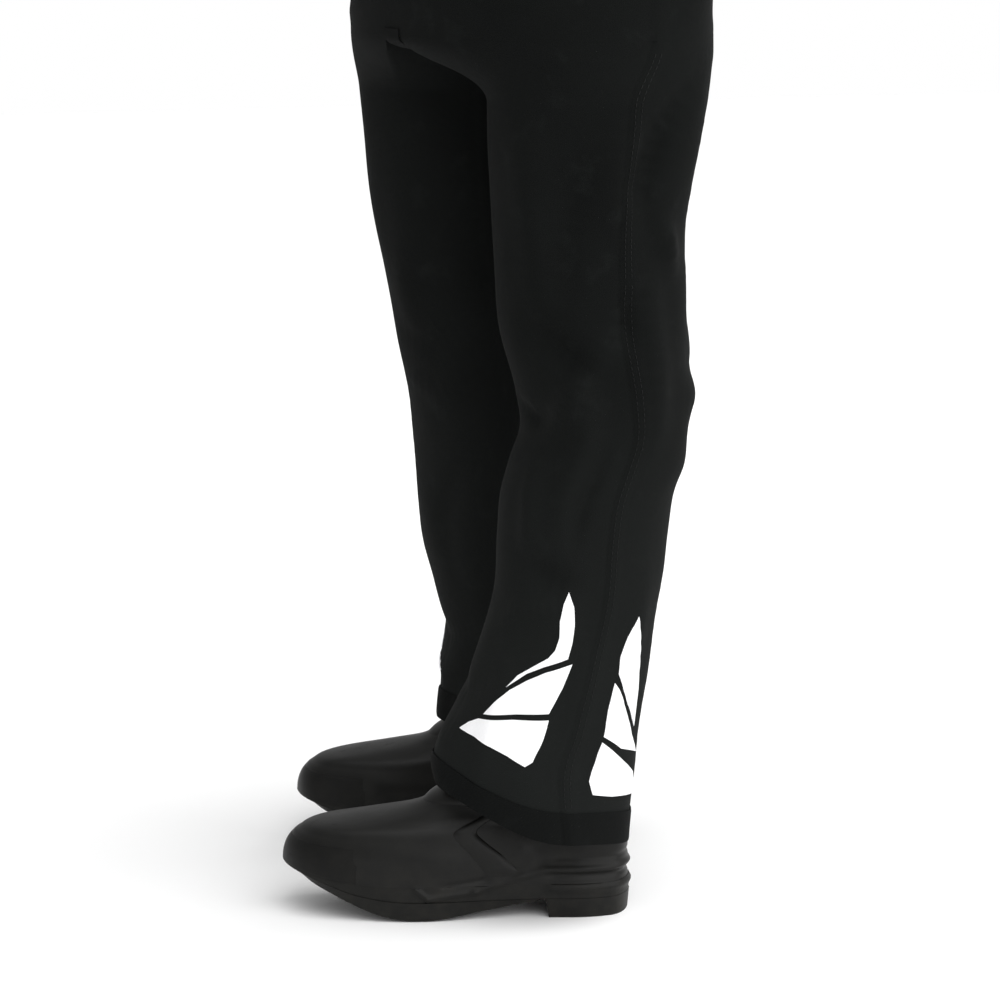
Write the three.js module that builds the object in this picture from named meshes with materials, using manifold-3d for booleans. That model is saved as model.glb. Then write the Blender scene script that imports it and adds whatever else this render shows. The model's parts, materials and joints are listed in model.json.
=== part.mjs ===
// Firefighter's bunker pants standing over their rubber boots, in millimetres.
// +Z is up, the toes point to -Y and the wearer's left side is +X. The origin is on the ground, under the middle of
// the whole. The wearer stands with the left foot a little forward and the seat turned a little to the left.
import * as THREE from "three";
import { mergeVertices } from "three/addons/utils/BufferGeometryUtils.js";
import Module from "manifold-3d";

const wasm = await Module();
wasm.setup();

// ---------- Driving dimensions ----------
const seam = 0.4; // gap between pieces that are sewn or laid against each other
const shellThick = 3; // outer shell cloth
const linerThick = 3; // moisture barrier and quilted thermal liner together
const bandThick = 3.2; // waistband, folded and stitched
const trimThick = 0.8; // retroreflective trim

const waistHeight = 1050;
const bandWidth = 42;
const hipHeight = 850; // fullest part of the seat
const crotchHeight = 800; // lower edge of the seat panels
const thighTop = 640; // where the cloth starts to follow the thigh alone
const kneeHeight = 480;
const kneeReach = 65; // half the height of the loose cloth at the knee
const hemMiddle = 103; // hem height at the sides
const hemRise = 33; // how much higher the hem is in front, and lower behind

const waistHalf = { wide: 168, deep: 120 };
const hipHalf = { wide: 200, deep: 148 };
const crotchHalf = { wide: 198, deep: 146 };
const centreStrip = 12; // half the flat strip down the middle of the seat, front and back
const seatMiddle = 28; // how far the seat's middle lies behind the stance line
const seatTurn = THREE.MathUtils.degToRad(16);

// Each leg's middle, from the seat down, and the half sizes that both legs share.
const legHeights = [crotchHeight, 660, 560, kneeHeight, 350, 220, hemMiddle - hemRise];
const legWide = [97, 92, 88, 85, 82, 81, 84];
const legDeep = [102, 92, 86, 82, 78, 83, 90];
const legOut = [110, 110, 112, 114, 118, 122, 122];
const legBack = {
  left: [60, 56, 55, 64, 46, 22, -4],
  right: [-6, 6, 14, 27, 38, 58, 68],
};

const bootLength = 322;
const heelBehindAnkle = 75;
const bootAcross = 122; // how far each boot's middle is from the centre line
const bootBack = { left: 8, right: 79 }; // where each ankle is, fore and aft
const toeTurn = { left: -15, right: 15 }; // both feet point a little to the wearer's right, in degrees
const soleThick = 18;
const midsoleTop = 32;
const bootWall = 4.5;
const shaftTop = 330;
const shaftHalf = { wide: 54, deep: 60 };

const hipSwing = { front: 50, back: -15 };
const kneeBend = 75;

// ---------- Colours ----------
const cloth = new THREE.MeshStandardMaterial({ color: 0x191b1a, roughness: 0.9, metalness: 0 });
const kneeCloth = new THREE.MeshStandardMaterial({ color: 0x161817, roughness: 0.92, metalness: 0 });
const quilt = new THREE.MeshStandardMaterial({ color: 0xc9a23c, roughness: 0.95, metalness: 0 });
const webbing = new THREE.MeshStandardMaterial({ color: 0x141414, roughness: 0.85, metalness: 0 });
const reflective = new THREE.MeshStandardMaterial({ color: 0xf4f6f8, roughness: 0.35, metalness: 0 });
const rubber = new THREE.MeshStandardMaterial({ color: 0x2b2b29, roughness: 0.55, metalness: 0 });
const soleRubber = new THREE.MeshStandardMaterial({ color: 0x262622, roughness: 0.7, metalness: 0 });
const insoleFelt = new THREE.MeshStandardMaterial({ color: 0x6b6b63, roughness: 0.95, metalness: 0 });
const nickel = new THREE.MeshStandardMaterial({ color: 0x8f8f8c, roughness: 0.35, metalness: 0.9 });
const blackMetal = new THREE.MeshStandardMaterial({ color: 0x202020, roughness: 0.4, metalness: 0.8 });
const plastic = new THREE.MeshStandardMaterial({ color: 0x1a1a1a, roughness: 0.5, metalness: 0 });

const pants = new THREE.Group();
const sides = { left: 1, right: -1 };
const degrees = THREE.MathUtils.degToRad;

function add(parent, name, geometry, material) {
  const mesh = new THREE.Mesh(geometry, material);
  mesh.name = name;
  parent.add(mesh);
  return mesh;
}

// ---------- Closed surfaces ----------

// A geometry from points and four-cornered faces, turned so that its faces point out.
function closedGeometry(points, quads, triangles = []) {
  const index = [...triangles];
  for (const [a, b, c, d] of quads) index.push(a, b, c, a, c, d);
  let volume = 0;
  for (let i = 0; i < index.length; i += 3) {
    const [a, b, c] = [points[index[i]], points[index[i + 1]], points[index[i + 2]]];
    volume += a.dot(new THREE.Vector3().crossVectors(b, c));
  }
  if (volume < 0) index.reverse();
  const geometry = new THREE.BufferGeometry().setFromPoints(points);
  geometry.setIndex(index);
  return geometry;
}

// A curved slab of cloth on a grid of columns across and rows along. place(column, row, face) gives a point, where
// face is 1 on the outside and 0 on the inside. A ring closes on itself across.
function slab(place, columns, rows, ring = false) {
  const [m, n] = [columns.length, rows.length];
  const points = [];
  for (const face of [1, 0])
    for (const row of rows)
      for (const column of columns) points.push(place(column, row, face));
  const at = (face, i, j) => (face ? 0 : m * n) + j * m + (i % m);
  const quads = [];
  const across = ring ? m : m - 1;
  const along = n - 1;
  for (let j = 0; j < along; j++)
    for (let i = 0; i < across; i++) {
      quads.push([at(1, i, j), at(1, i + 1, j), at(1, i + 1, j + 1), at(1, i, j + 1)]);
      quads.push([at(0, i, j), at(0, i, j + 1), at(0, i + 1, j + 1), at(0, i + 1, j)]);
    }
  for (let i = 0; i < across; i++) {
    quads.push([at(1, i, 0), at(0, i, 0), at(0, i + 1, 0), at(1, i + 1, 0)]);
    quads.push([at(1, i, along), at(1, i + 1, along), at(0, i + 1, along), at(0, i, along)]);
  }
  if (!ring)
    for (let j = 0; j < along; j++) {
      quads.push([at(1, 0, j), at(1, 0, j + 1), at(0, 0, j + 1), at(0, 0, j)]);
      quads.push([at(1, across, j), at(0, across, j), at(0, across, j + 1), at(1, across, j + 1)]);
    }
  return closedGeometry(points, quads);
}

// Evenly spaced values from one end to the other, both included.
function spaced(from, to, steps) {
  return Array.from({ length: steps + 1 }, (_, i) => THREE.MathUtils.lerp(from, to, i / steps));
}

// A solid skinned over rings of equal point count, closed by a fan at each end.
function loft(rings) {
  const n = rings[0].length;
  const points = rings.flat();
  const quads = [];
  for (let j = 0; j < rings.length - 1; j++)
    for (let i = 0; i < n; i++) {
      const k = (i + 1) % n;
      quads.push([j * n + i, j * n + k, (j + 1) * n + k, (j + 1) * n + i]);
    }
  const triangles = [];
  const last = (rings.length - 1) * n;
  for (const [ring, start, turn] of [[rings[0], 0, -1], [rings.at(-1), last, 1]]) {
    const middle = ring.reduce((sum, p) => sum.add(p), new THREE.Vector3()).divideScalar(n);
    const centre = points.push(middle) - 1;
    for (let i = 0; i < n; i++) {
      const [a, b] = [start + i, start + ((i + 1) % n)];
      triangles.push(...(turn > 0 ? [a, b, centre] : [b, a, centre]));
    }
  }
  return closedGeometry(points, quads, triangles);
}

// ---------- Cutting and joining ----------
function toSolid(geometry) {
  const bare = geometry.index ? geometry.toNonIndexed() : geometry.clone();
  bare.deleteAttribute("normal");
  bare.deleteAttribute("uv");
  const merged = mergeVertices(bare, 1e-3);
  return new wasm.Manifold(new wasm.Mesh({
    numProp: 3,
    vertProperties: merged.attributes.position.array,
    triVerts: new Uint32Array(merged.index.array),
  }));
}

function toGeometry(solid) {
  const mesh = solid.getMesh();
  const geometry = new THREE.BufferGeometry();
  geometry.setAttribute("position", new THREE.BufferAttribute(mesh.vertProperties, 3));
  geometry.setIndex(new THREE.BufferAttribute(mesh.triVerts, 1));
  return geometry;
}

function block(wide, deep, high, x, y, z) {
  return new THREE.BoxGeometry(wide, deep, high).translate(x, y, z);
}

// A value read off a list at a height, in straight lines between the list's own heights, which run downwards.
function atHeight(values, heights, z) {
  if (z >= heights[0]) return values[0];
  for (let i = 1; i < heights.length; i++)
    if (z >= heights[i]) {
      const share = (heights[i - 1] - z) / (heights[i - 1] - heights[i]);
      return THREE.MathUtils.lerp(values[i - 1], values[i], share);
    }
  return values.at(-1);
}

// ---------- The body's shape ----------

// A point on the seat. angle runs from -90 degrees at the middle of the front, through 0 at the side seam, to 90
// behind; the last few degrees at each end run straight in to the centre line. offset is outwards.
const stripAngle = degrees(8);
function seatPoint(side, angle, z, offset) {
  const seatHeights = [waistHeight, hipHeight, crotchHeight];
  const wide = atHeight([waistHalf.wide, hipHalf.wide, crotchHalf.wide], seatHeights, z) + offset;
  const deep = atHeight([waistHalf.deep, hipHalf.deep, crotchHalf.deep], seatHeights, z) + offset;
  const quarter = Math.PI / 2;
  const round = THREE.MathUtils.clamp(angle, -quarter, quarter);
  const inwards = 1 - (Math.abs(angle) - Math.abs(round)) / stripAngle;
  const x = centreStrip * inwards + (wide - centreStrip) * Math.cos(round);
  return seatFrame(sides[side] * x, deep * Math.sin(round), z);
}

// A point given in the seat's own square frame, turned and moved to where the seat is.
function seatFrame(x, y, z) {
  return new THREE.Vector3(x, y, z)
    .applyAxisAngle(new THREE.Vector3(0, 0, 1), seatTurn)
    .add(new THREE.Vector3(0, seatMiddle, 0));
}

// A point on a leg. angle is 0 on the wearer's outer side and 90 degrees behind. Above the thigh the leg widens into
// its half of the seat, with a flat inner wall.
function legPoint(side, angle, z, offset) {
  const read = (values) => atHeight(values, legHeights, z);
  const out = sides[side];
  const round = new THREE.Vector3(
    out * (read(legOut) + (read(legWide) + offset) * Math.cos(angle)),
    read(legBack[side]) + (read(legDeep) + offset) * Math.sin(angle),
    z,
  );
  const share = THREE.MathUtils.smoothstep(z, thighTop + seam, crotchHeight);
  if (share === 0) return round;
  const wall = centreStrip + seam - offset * (Math.cos(angle) < 0 ? 1 : 0);
  const half = seatFrame(
    out * (wall + (crotchHalf.wide + offset - wall) * Math.max(Math.cos(angle), 0)),
    (crotchHalf.deep + offset) * Math.sin(angle),
    z,
  );
  return round.lerp(half, share);
}

// Heights at angle: the hem is higher in front than behind.
const hemAt = (angle) => hemMiddle - hemRise * Math.sin(angle);

// A piece of cloth on a leg. A row is a height, or a function that gives the height at an angle.
function legPanel(side, angles, rows, [outer, inner], ring = false) {
  const place = (angle, row, face) =>
    legPoint(side, angle, typeof row === "function" ? row(angle) : row, face ? outer : inner);
  return slab(place, angles, rows, ring);
}

// ---------- Seat, waistband and closure ----------
const quarter = Math.PI / 2;
const seamAngle = seam / 2 / hipHalf.wide;
const bandLow = waistHeight - bandWidth;
const shellTop = waistHeight - 2;

function seatPanel(side, angles, rows, outer, inner) {
  return slab((angle, z, face) => seatPoint(side, angle, z, face ? outer : inner), angles, rows);
}

const frontEnd = -quarter - stripAngle * (1 - seam / centreStrip);
const backEnd = quarter + stripAngle * (1 - seam / centreStrip);
const bandFront = -quarter + degrees(4); // the band stops short of the zip
const frontAngles = [frontEnd, ...spaced(-quarter, -seamAngle, 9)];
const backAngles = [...spaced(seamAngle, quarter, 9), backEnd];
const seatRows = [shellTop, hipHeight, crotchHeight + seam];
for (const side of ["left", "right"]) {
  add(pants, `${side}_seat_front_panel`, seatPanel(side, frontAngles, seatRows, 0, -shellThick), cloth);
  add(pants, `${side}_seat_rear_panel`, seatPanel(side, backAngles, seatRows, 0, -shellThick), cloth);
  const bandAngles = [bandFront, ...spaced(-quarter, quarter, 18).slice(1), backEnd];
  const bandRows = [waistHeight, bandLow];
  add(pants, `${side}_waistband`, seatPanel(side, bandAngles, bandRows, seam + bandThick, seam), webbing);
}

// The liner goes round from the right of the zip to its left, behind both halves' panels.
const linerOut = -shellThick - seam;
const linerIn = linerOut - linerThick;
const half = [...frontAngles, ...backAngles.slice(1)];
const linerColumns = [
  ...half.map((angle) => ["left", angle]),
  ...half.toReversed().map((angle) => ["right", angle]),
].filter(([, angle]) => angle < quarter + stripAngle / 2);
const linerRows = [bandLow, hipHeight, crotchHeight + seam];
const linerPlace = ([side, angle], z, face) => seatPoint(side, angle, z, face ? linerOut : linerIn);
add(pants, "seat_liner", slab(linerPlace, linerColumns, linerRows), quilt);

// The gusset closes the crotch between the legs' inner walls.
const gussetDrop = 22;
const gussetPlace = (share, x, face) => {
  const reach = crotchHalf.deep - (face ? 1 : shellThick + 3);
  const y = reach * share;
  const drop = face ? gussetDrop * Math.sqrt(1 - (y / (reach + 1)) ** 2) : 0;
  return seatFrame(x, y, crotchHeight - drop);
};
const gussetHalf = centreStrip - seam;
add(pants, "crotch_gusset", slab(gussetPlace, spaced(-1, 1, 12), [-gussetHalf, gussetHalf]), kneeCloth);

// The closure's own frame: its origin at the top of the front's middle, -Z down the sloping front and -Y outwards.
const frontSlope = Math.atan((hipHalf.deep - waistHalf.deep) / (waistHeight - hipHeight));
const seatGroup = new THREE.Group();
seatGroup.rotation.z = seatTurn;
seatGroup.position.y = seatMiddle;
const front = new THREE.Group();
front.position.set(0, -waistHalf.deep, waistHeight);
front.rotation.x = -frontSlope;
seatGroup.add(front);
pants.add(seatGroup);

const zipLength = 125;
const zipTop = 50; // how far below the waist the closed slider sits
const tape = { wide: 23, thick: 1.4, start: 46 };
const coil = { wide: 6, thick: 1.6 };
const slider = { wide: 11, long: 16, thick: 4.6, wall: 1.2 };
const pull = { wide: 7, long: 26, thick: 1.4, eye: 3.4 };
const tab = { from: 62, to: -52, wide: 30, thick: 2.6, middle: 23 };
const snap = { radius: 7.5, high: 3.4, stud: 4, studHigh: 2.2, sides: 16 };

// Zip tape with its raised row of teeth down the middle.
const tapeY = -seam - tape.thick / 2;
const tapeLong = zipLength + slider.long + 10;
const tapeSolid = toSolid(block(tape.wide, tape.thick, tapeLong, 0, tapeY, -tape.start - tapeLong / 2));
const toothRow = toSolid(block(coil.wide, coil.thick, tapeLong - 4, 0, -seam - tape.thick - coil.thick / 2 + 0.1,
  -tape.start - tapeLong / 2));
add(front, "zip_tape", toGeometry(tapeSolid.add(toothRow)), webbing);

// The slider straddles the teeth and carries a bridge for the pull.
const teethTop = -seam - tape.thick - coil.thick;
const sliderTop = teethTop - seam - slider.wall;
const sliderBody = toSolid(block(slider.wide, slider.thick, slider.long, 0, sliderTop + slider.thick / 2, -zipTop
  - slider.long / 2));
const toothTunnel = toSolid(block(coil.wide + 2 * seam, slider.thick, slider.long + 2, 0,
  teethTop - seam + slider.thick / 2, -zipTop - slider.long / 2));
const tapeFace = -seam - tape.thick - seam;
const tapeTunnel = toSolid(block(slider.wide + 2, slider.thick, slider.long + 2, 0,
  tapeFace + slider.thick / 2, -zipTop - slider.long / 2));
const bridgeHigh = 4.2;
const bridgeZ = -zipTop - slider.long * 0.3;
const bridgeOuter = toSolid(block(4, bridgeHigh, 9, 0, sliderTop - bridgeHigh / 2 + 0.1, bridgeZ));
const bridgeGap = toSolid(block(6, bridgeHigh - 1.4, 6, 0, sliderTop - (bridgeHigh - 1.4) / 2, bridgeZ));
const sliderSolid = sliderBody.subtract(toothTunnel).subtract(tapeTunnel).add(bridgeOuter.subtract(bridgeGap));
add(front, "zip_slider", toGeometry(sliderSolid), nickel);

// The pull hangs by its eye from the bridge, whose lower bar passes through the eye.
const pullY = sliderTop - seam - pull.thick / 2;
const pullTop = bridgeZ + 2.6;
const pullShape = new THREE.Shape();
pullShape.absarc(0, -pull.wide / 2, pull.wide / 2, 0, Math.PI, false);
pullShape.lineTo(-pull.wide / 2 - 0.8, -pull.long + 3);
pullShape.quadraticCurveTo(-pull.wide / 2 - 0.8, -pull.long, 0, -pull.long);
pullShape.quadraticCurveTo(pull.wide / 2 + 0.8, -pull.long, pull.wide / 2 + 0.8, -pull.long + 3);
const eye = new THREE.Path();
eye.moveTo(-2.5, -1.5);
eye.lineTo(-2.5, -1.5 - pull.eye - 3.6);
eye.lineTo(2.5, -1.5 - pull.eye - 3.6);
eye.lineTo(2.5, -1.5);
pullShape.holes.push(eye);
const pullGeometry = new THREE.ExtrudeGeometry(pullShape, {
  depth: pull.thick, bevelEnabled: false, curveSegments: 6,
});
pullGeometry.rotateX(Math.PI / 2).translate(0, pullY + pull.thick / 2, pullTop);
add(front, "zip_pull", pullGeometry, nickel);

// ---------- Fittings round the waistband ----------

// A place on the front of the band, x from its middle.
const bandReach = waistHalf.wide - centreStrip;
const angleAt = (x) => -Math.acos(THREE.MathUtils.clamp((Math.abs(x) - centreStrip) / bandReach, 0, 1));
function bandPoint(x, z, offset) {
  if (Math.abs(x) >= centreStrip) return seatPoint(x < 0 ? "right" : "left", angleAt(x), z, offset);
  const edge = seatPoint("left", -quarter, z, offset);
  const other = seatPoint("right", -quarter, z, offset);
  return other.lerp(edge, (x / centreStrip + 1) / 2);
}

// A frame standing on the band's outer face at an angle: -Y outwards, X along the band, Z up its slope.
function bandFrame(side, angle, drop) {
  const z = waistHeight - drop;
  const here = seatPoint(side, angle, z, seam + bandThick);
  const along = seatPoint(side, angle + 0.02, z, seam + bandThick).sub(seatPoint(side, angle - 0.02, z, seam + bandThick));
  const up = seatPoint(side, angle, z + 2, seam + bandThick).sub(seatPoint(side, angle, z - 2, seam + bandThick));
  along.multiplyScalar(sides[side]);
  up.normalize();
  const inwards = new THREE.Vector3().crossVectors(up, along).normalize();
  const frame = new THREE.Group();
  frame.matrix.makeBasis(new THREE.Vector3().crossVectors(inwards, up), inwards, up).setPosition(here);
  frame.matrix.decompose(frame.position, frame.quaternion, frame.scale);
  pants.add(frame);
  return frame;
}

// The waist tab is sewn to the left end of the band, crosses the zip and snaps over the right end.
const snapX = tab.to + tab.wide / 2;
const tabPlace = (x, share, face) => {
  const round = Math.max(0, (snapX - x) / (tab.wide / 2));
  const halfHigh = (tab.wide / 2) * Math.sqrt(Math.max(1 - round ** 2, 0.12));
  const z = waistHeight - tab.middle + share * halfHigh;
  return bandPoint(x, z, 2 * seam + bandThick + (face ? tab.thick : 0));
};
const tabColumns = [tab.from, 50, 38, 26, centreStrip, -centreStrip, -26, snapX, snapX - 6, snapX - 11, tab.to];
const snapFrame = bandFrame("right", angleAt(snapX), tab.middle);
const disc = (radius, from, high) =>
  new THREE.CylinderGeometry(radius, radius, high, snap.sides).translate(0, -from - high / 2, 0);
const inSnapFrame = (geometry) => {
  snapFrame.updateMatrix();
  return geometry.applyMatrix4(snapFrame.matrix);
};
const studHole = toSolid(inSnapFrame(disc(snap.stud + 0.8, -2, tab.thick + 6)));
add(pants, "waist_tab", toGeometry(toSolid(slab(tabPlace, tabColumns, [1, -1])).subtract(studHole)), cloth);

const capFrom = 2 * seam + tab.thick + 0.2;
const studHigh = capFrom + snap.studHigh - 1 - seam;
const capHollow = toSolid(disc(snap.stud + 0.8, capFrom - 1, snap.studHigh + 1));
const cap = toSolid(disc(snap.radius, capFrom, snap.high)).subtract(capHollow);
add(snapFrame, "snap_cap", toGeometry(cap), nickel);
add(snapFrame, "snap_stud", disc(snap.stud, seam, studHigh), nickel);

// Six suspender buttons: a dished head on a waisted shank.
const button = { head: 8.5, shank: 3.2, high: 6, headThick: 2.2, sides: 12 };
const buttonProfile = [
  [0, 0], [5.5, 0], [5.5, 0.8], [button.shank, 1.4], [button.shank, button.high - button.headThick - 0.6],
  [button.head, button.high - button.headThick], [button.head, button.high - 0.6], [button.head - 0.9, button.high],
  [0, button.high],
].map(([r, h]) => new THREE.Vector2(r, h));
const buttonPlaces = { front_outer: degrees(-48), front_inner: degrees(-62), back: degrees(74) };
for (const side of ["left", "right"])
  for (const [place, angle] of Object.entries(buttonPlaces)) {
    const frame = bandFrame(side, angle, bandWidth * 0.45);
    const head = new THREE.LatheGeometry(buttonProfile, button.sides).rotateX(Math.PI).translate(0, -seam, 0);
    add(frame, `${side}_${place}_suspender_button`, head, nickel);
  }

// Take-up strap at each hip, held by a tilting ladder buckle.
const strap = { wide: 25, thick: 2, from: degrees(5.6), to: degrees(50) };
const buckle = { wide: 33, long: 30, thick: 3.4, bar: 5, angle: degrees(-2) };
const buckleFrames = {};
for (const side of ["left", "right"]) {
  const strapHigh = waistHeight - (bandWidth - strap.wide) / 2;
  const strapFace = 2 * seam + bandThick;
  const strapAngles = [strap.from, ...spaced(degrees(10), strap.to, 4)];
  const strapRows = [strapHigh, strapHigh - strap.wide];
  add(pants, `${side}_takeup_strap`, seatPanel(side, strapAngles, strapRows, strapFace + strap.thick, strapFace),
    webbing);
  const frame = bandFrame(side, buckle.angle, bandWidth / 2);
  buckleFrames[side] = frame;
  const plate = new THREE.Shape();
  plate.moveTo(-buckle.long / 2, -buckle.wide / 2);
  plate.lineTo(buckle.long / 2, -buckle.wide / 2 + 2);
  plate.lineTo(buckle.long / 2, buckle.wide / 2 - 2);
  plate.lineTo(-buckle.long / 2, buckle.wide / 2);
  const flat = new THREE.ExtrudeGeometry(plate, { depth: buckle.thick, bevelEnabled: false });
  flat.rotateX(quarter).translate(0, -seam, 0);
  const slotHigh = strap.wide + 1.2;
  const slotWide = (buckle.long - 3 * buckle.bar) / 2;
  const slotFrom = (buckle.bar + slotWide) / 2;
  let body = toSolid(flat);
  for (const out of [-1, 1])
    body = body.subtract(toSolid(block(slotWide, 20, slotHigh, out * slotFrom, 0, 0)));
  add(frame, `${side}_takeup_buckle`, toGeometry(body), plastic);
}

// Hanging loop at the back of the waistband: a webbing arch whose two feet lie on the band.
const loop = { wide: 84, strip: 14, thick: 2, rise: 14 };
const loopPlace = (s, t, face) => {
  const x = loop.wide * (s - 0.5);
  const arch = loop.rise * Math.sin(Math.PI * THREE.MathUtils.clamp((s - 0.2) / 0.6, 0, 1));
  const side = x >= 0 ? "left" : "right";
  const reach = Math.abs(x) / waistHalf.wide;
  const angle = quarter + stripAngle - Math.min(reach * 14, 1) * stripAngle - Math.max(reach - 1 / 14, 0) * 1.05;
  const z = waistHeight - 12 - t * loop.strip;
  return seatPoint(side, angle, z, 2 * seam + bandThick + arch + (face ? loop.thick : 0));
};
add(pants, "hanger_loop", slab(loopPlace, spaced(0, 1, 16), [0, 1]), webbing);

// ---------- Legs ----------
const kneeTop = kneeHeight + kneeReach;
const kneeLow = kneeHeight - kneeReach;
const cuff = { high: 28, thick: 1.6 };
const cuffTop = (angle) => hemAt(angle) + cuff.high;

// The outlines of the two reflective panels on the outer side of each leg, seen from that side: how far behind the
// leg's middle, and the height. Each panel tapers upwards to a point.
const trimOutlines = {
  front: [
    [-15, 315], [-12, 288], [-16, 262], [-14, 254], [-34, 207], [-42, 170], [-56, 160], [-92, 179], [-84, 198],
    [-54, 243], [-33, 258], [-24, 269], [-23, 289],
  ],
  rear: [
    [51, 290], [62, 250], [79, 191], [79, 134], [75, 104], [7, 132], [15, 180], [28, 232], [32, 241], [43, 270],
  ],
};

const trimReach = 150;

const columns = 24;
const around = spaced(0, 2 * Math.PI, columns).slice(0, -1);
const frontHalf = spaced(Math.PI + seam / 2 / legWide[1], 2 * Math.PI - seam / 2 / legWide[1], columns / 2);
const rearHalf = spaced(seam / 2 / legWide[1], Math.PI - seam / 2 / legWide[1], columns / 2);
const hipRows = spaced(crotchHeight, thighTop + seam, 4);
const thighRows = [thighTop, kneeTop + seam];
const kneeRows = spaced(kneeTop, kneeLow + seam, 4);
const shinRows = [kneeLow, 350, 285, 220, cuffTop];

for (const side of ["left", "right"]) {
  const shell = [0, -shellThick];
  const liner = [linerOut, linerIn];
  add(pants, `${side}_hip_panel`, legPanel(side, around, hipRows, shell, true), cloth);
  for (const [place, angles] of [["front", frontHalf], ["rear", rearHalf]]) {
    add(pants, `${side}_thigh_${place}_panel`, legPanel(side, angles, thighRows, shell), cloth);
    add(pants, `${side}_shin_${place}_panel`, legPanel(side, angles, [...shinRows, hemAt], shell), cloth);
  }
  add(pants, `${side}_knee_panel`, legPanel(side, around, kneeRows, shell, true), kneeCloth);
  add(pants, `${side}_thigh_liner`, legPanel(side, around, thighRows, liner, true), quilt);
  add(pants, `${side}_shin_liner`, legPanel(side, around, shinRows, liner, true), quilt);
  const band = [seam + cuff.thick, seam];
  add(pants, `${side}_cuff_band`, legPanel(side, around, [cuffTop, hemAt], band, true), kneeCloth);

  const trimRing = [seam + trimThick, seam];
  const trimLow = (angle) => cuffTop(angle) + seam;
  const wrap = toSolid(legPanel(side, around, [...shinRows.slice(1, -1), trimLow], trimRing, true));
  for (const [place, outline] of Object.entries(trimOutlines)) {
    const shape = new THREE.Shape(outline.map(([y, z]) => new THREE.Vector2(y, z)));
    const cutter = new THREE.ExtrudeGeometry(shape, { depth: trimReach, bevelEnabled: false });
    cutter.rotateX(quarter).rotateZ(quarter);
    cutter.translate(sides[side] > 0 ? legOut[5] : -legOut[5] - trimReach, legBack[side][5], 0);
    add(pants, `${side}_${place}_trim`, toGeometry(wrap.intersect(toSolid(cutter))), reflective);
  }
}

// ---------- Boots ----------

// The left boot's footprint, with the ankle at the origin and the toe towards -Y.
const toeAt = heelBehindAnkle - bootLength;
const footprint = new THREE.CatmullRomCurve3(
  [
    [0, heelBehindAnkle], [30, 64], [41, 36], [42, -5], [47, -55], [55, -112], [54, -165], [43, -210],
    [20, toeAt + 9], [-6, toeAt], [-34, toeAt + 12], [-50, -196], [-54, -150], [-50, -105], [-38, -50],
    [-35, -5], [-38, 36], [-28, 64],
  ].map(([x, y]) => new THREE.Vector3(x, y, 0)),
  true,
);

const footprintHalf = Math.max(...footprint.getPoints(60).map((p) => Math.abs(p.x)));

function footprintShape(grow, steps = 36) {
  const shape = new THREE.Shape();
  for (let i = 0; i < steps; i++) {
    const p = footprint.getPointAt(i / steps);
    const t = footprint.getTangentAt(i / steps);
    // The outline runs clockwise seen from above, so its left side is outwards.
    const [x, y] = [p.x - t.y * grow, p.y + t.x * grow];
    if (i) shape.lineTo(x, y);
    else shape.moveTo(x, y);
  }
  return shape;
}

function footLayer(grow, low, high) {
  return new THREE.ExtrudeGeometry(footprintShape(grow), { depth: high - low, bevelEnabled: false })
    .translate(0, 0, low);
}

// A side-on cutter: a shape in Y and Z, drawn through the whole width.
function sideCutter(points) {
  const shape = new THREE.Shape(points.map(([y, z]) => new THREE.Vector2(y, z)));
  const cutter = new THREE.ExtrudeGeometry(shape, { depth: 200, bevelEnabled: false });
  return toSolid(cutter.rotateX(quarter).rotateZ(quarter).translate(-100, 0, 0));
}

// The boot's outline at each height: its front, back, half width, and how nearly it is a plain oval. The instep
// steps back as it rises, and the shaft leans with the shin.
const toeTip = toeAt + 3;
const bootRows = [
  [midsoleTop + seam, toeTip + 6, heelBehindAnkle - 3, 52, 0],
  [46, toeTip, heelBehindAnkle - 3, 52, 0],
  [60, toeTip + 3, heelBehindAnkle - 3, 51, 0],
  [74, toeTip + 13, heelBehindAnkle - 4, 49, 0],
  [86, toeTip + 32, heelBehindAnkle - 5, 46, 0],
  [97, -178, heelBehindAnkle - 7, 42, 0.1],
  [107, -136, heelBehindAnkle - 9, 40, 0.3],
  [118, -102, heelBehindAnkle - 11, 41, 0.6],
  [135, -76, heelBehindAnkle - 14, 43, 0.9],
];
const ringPoints = 24;

// The shaft's back rests against the liner at its rim.
const shaftRest = atHeight(legDeep, legHeights, shaftTop) + linerIn - seam - shaftHalf.deep;

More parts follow.
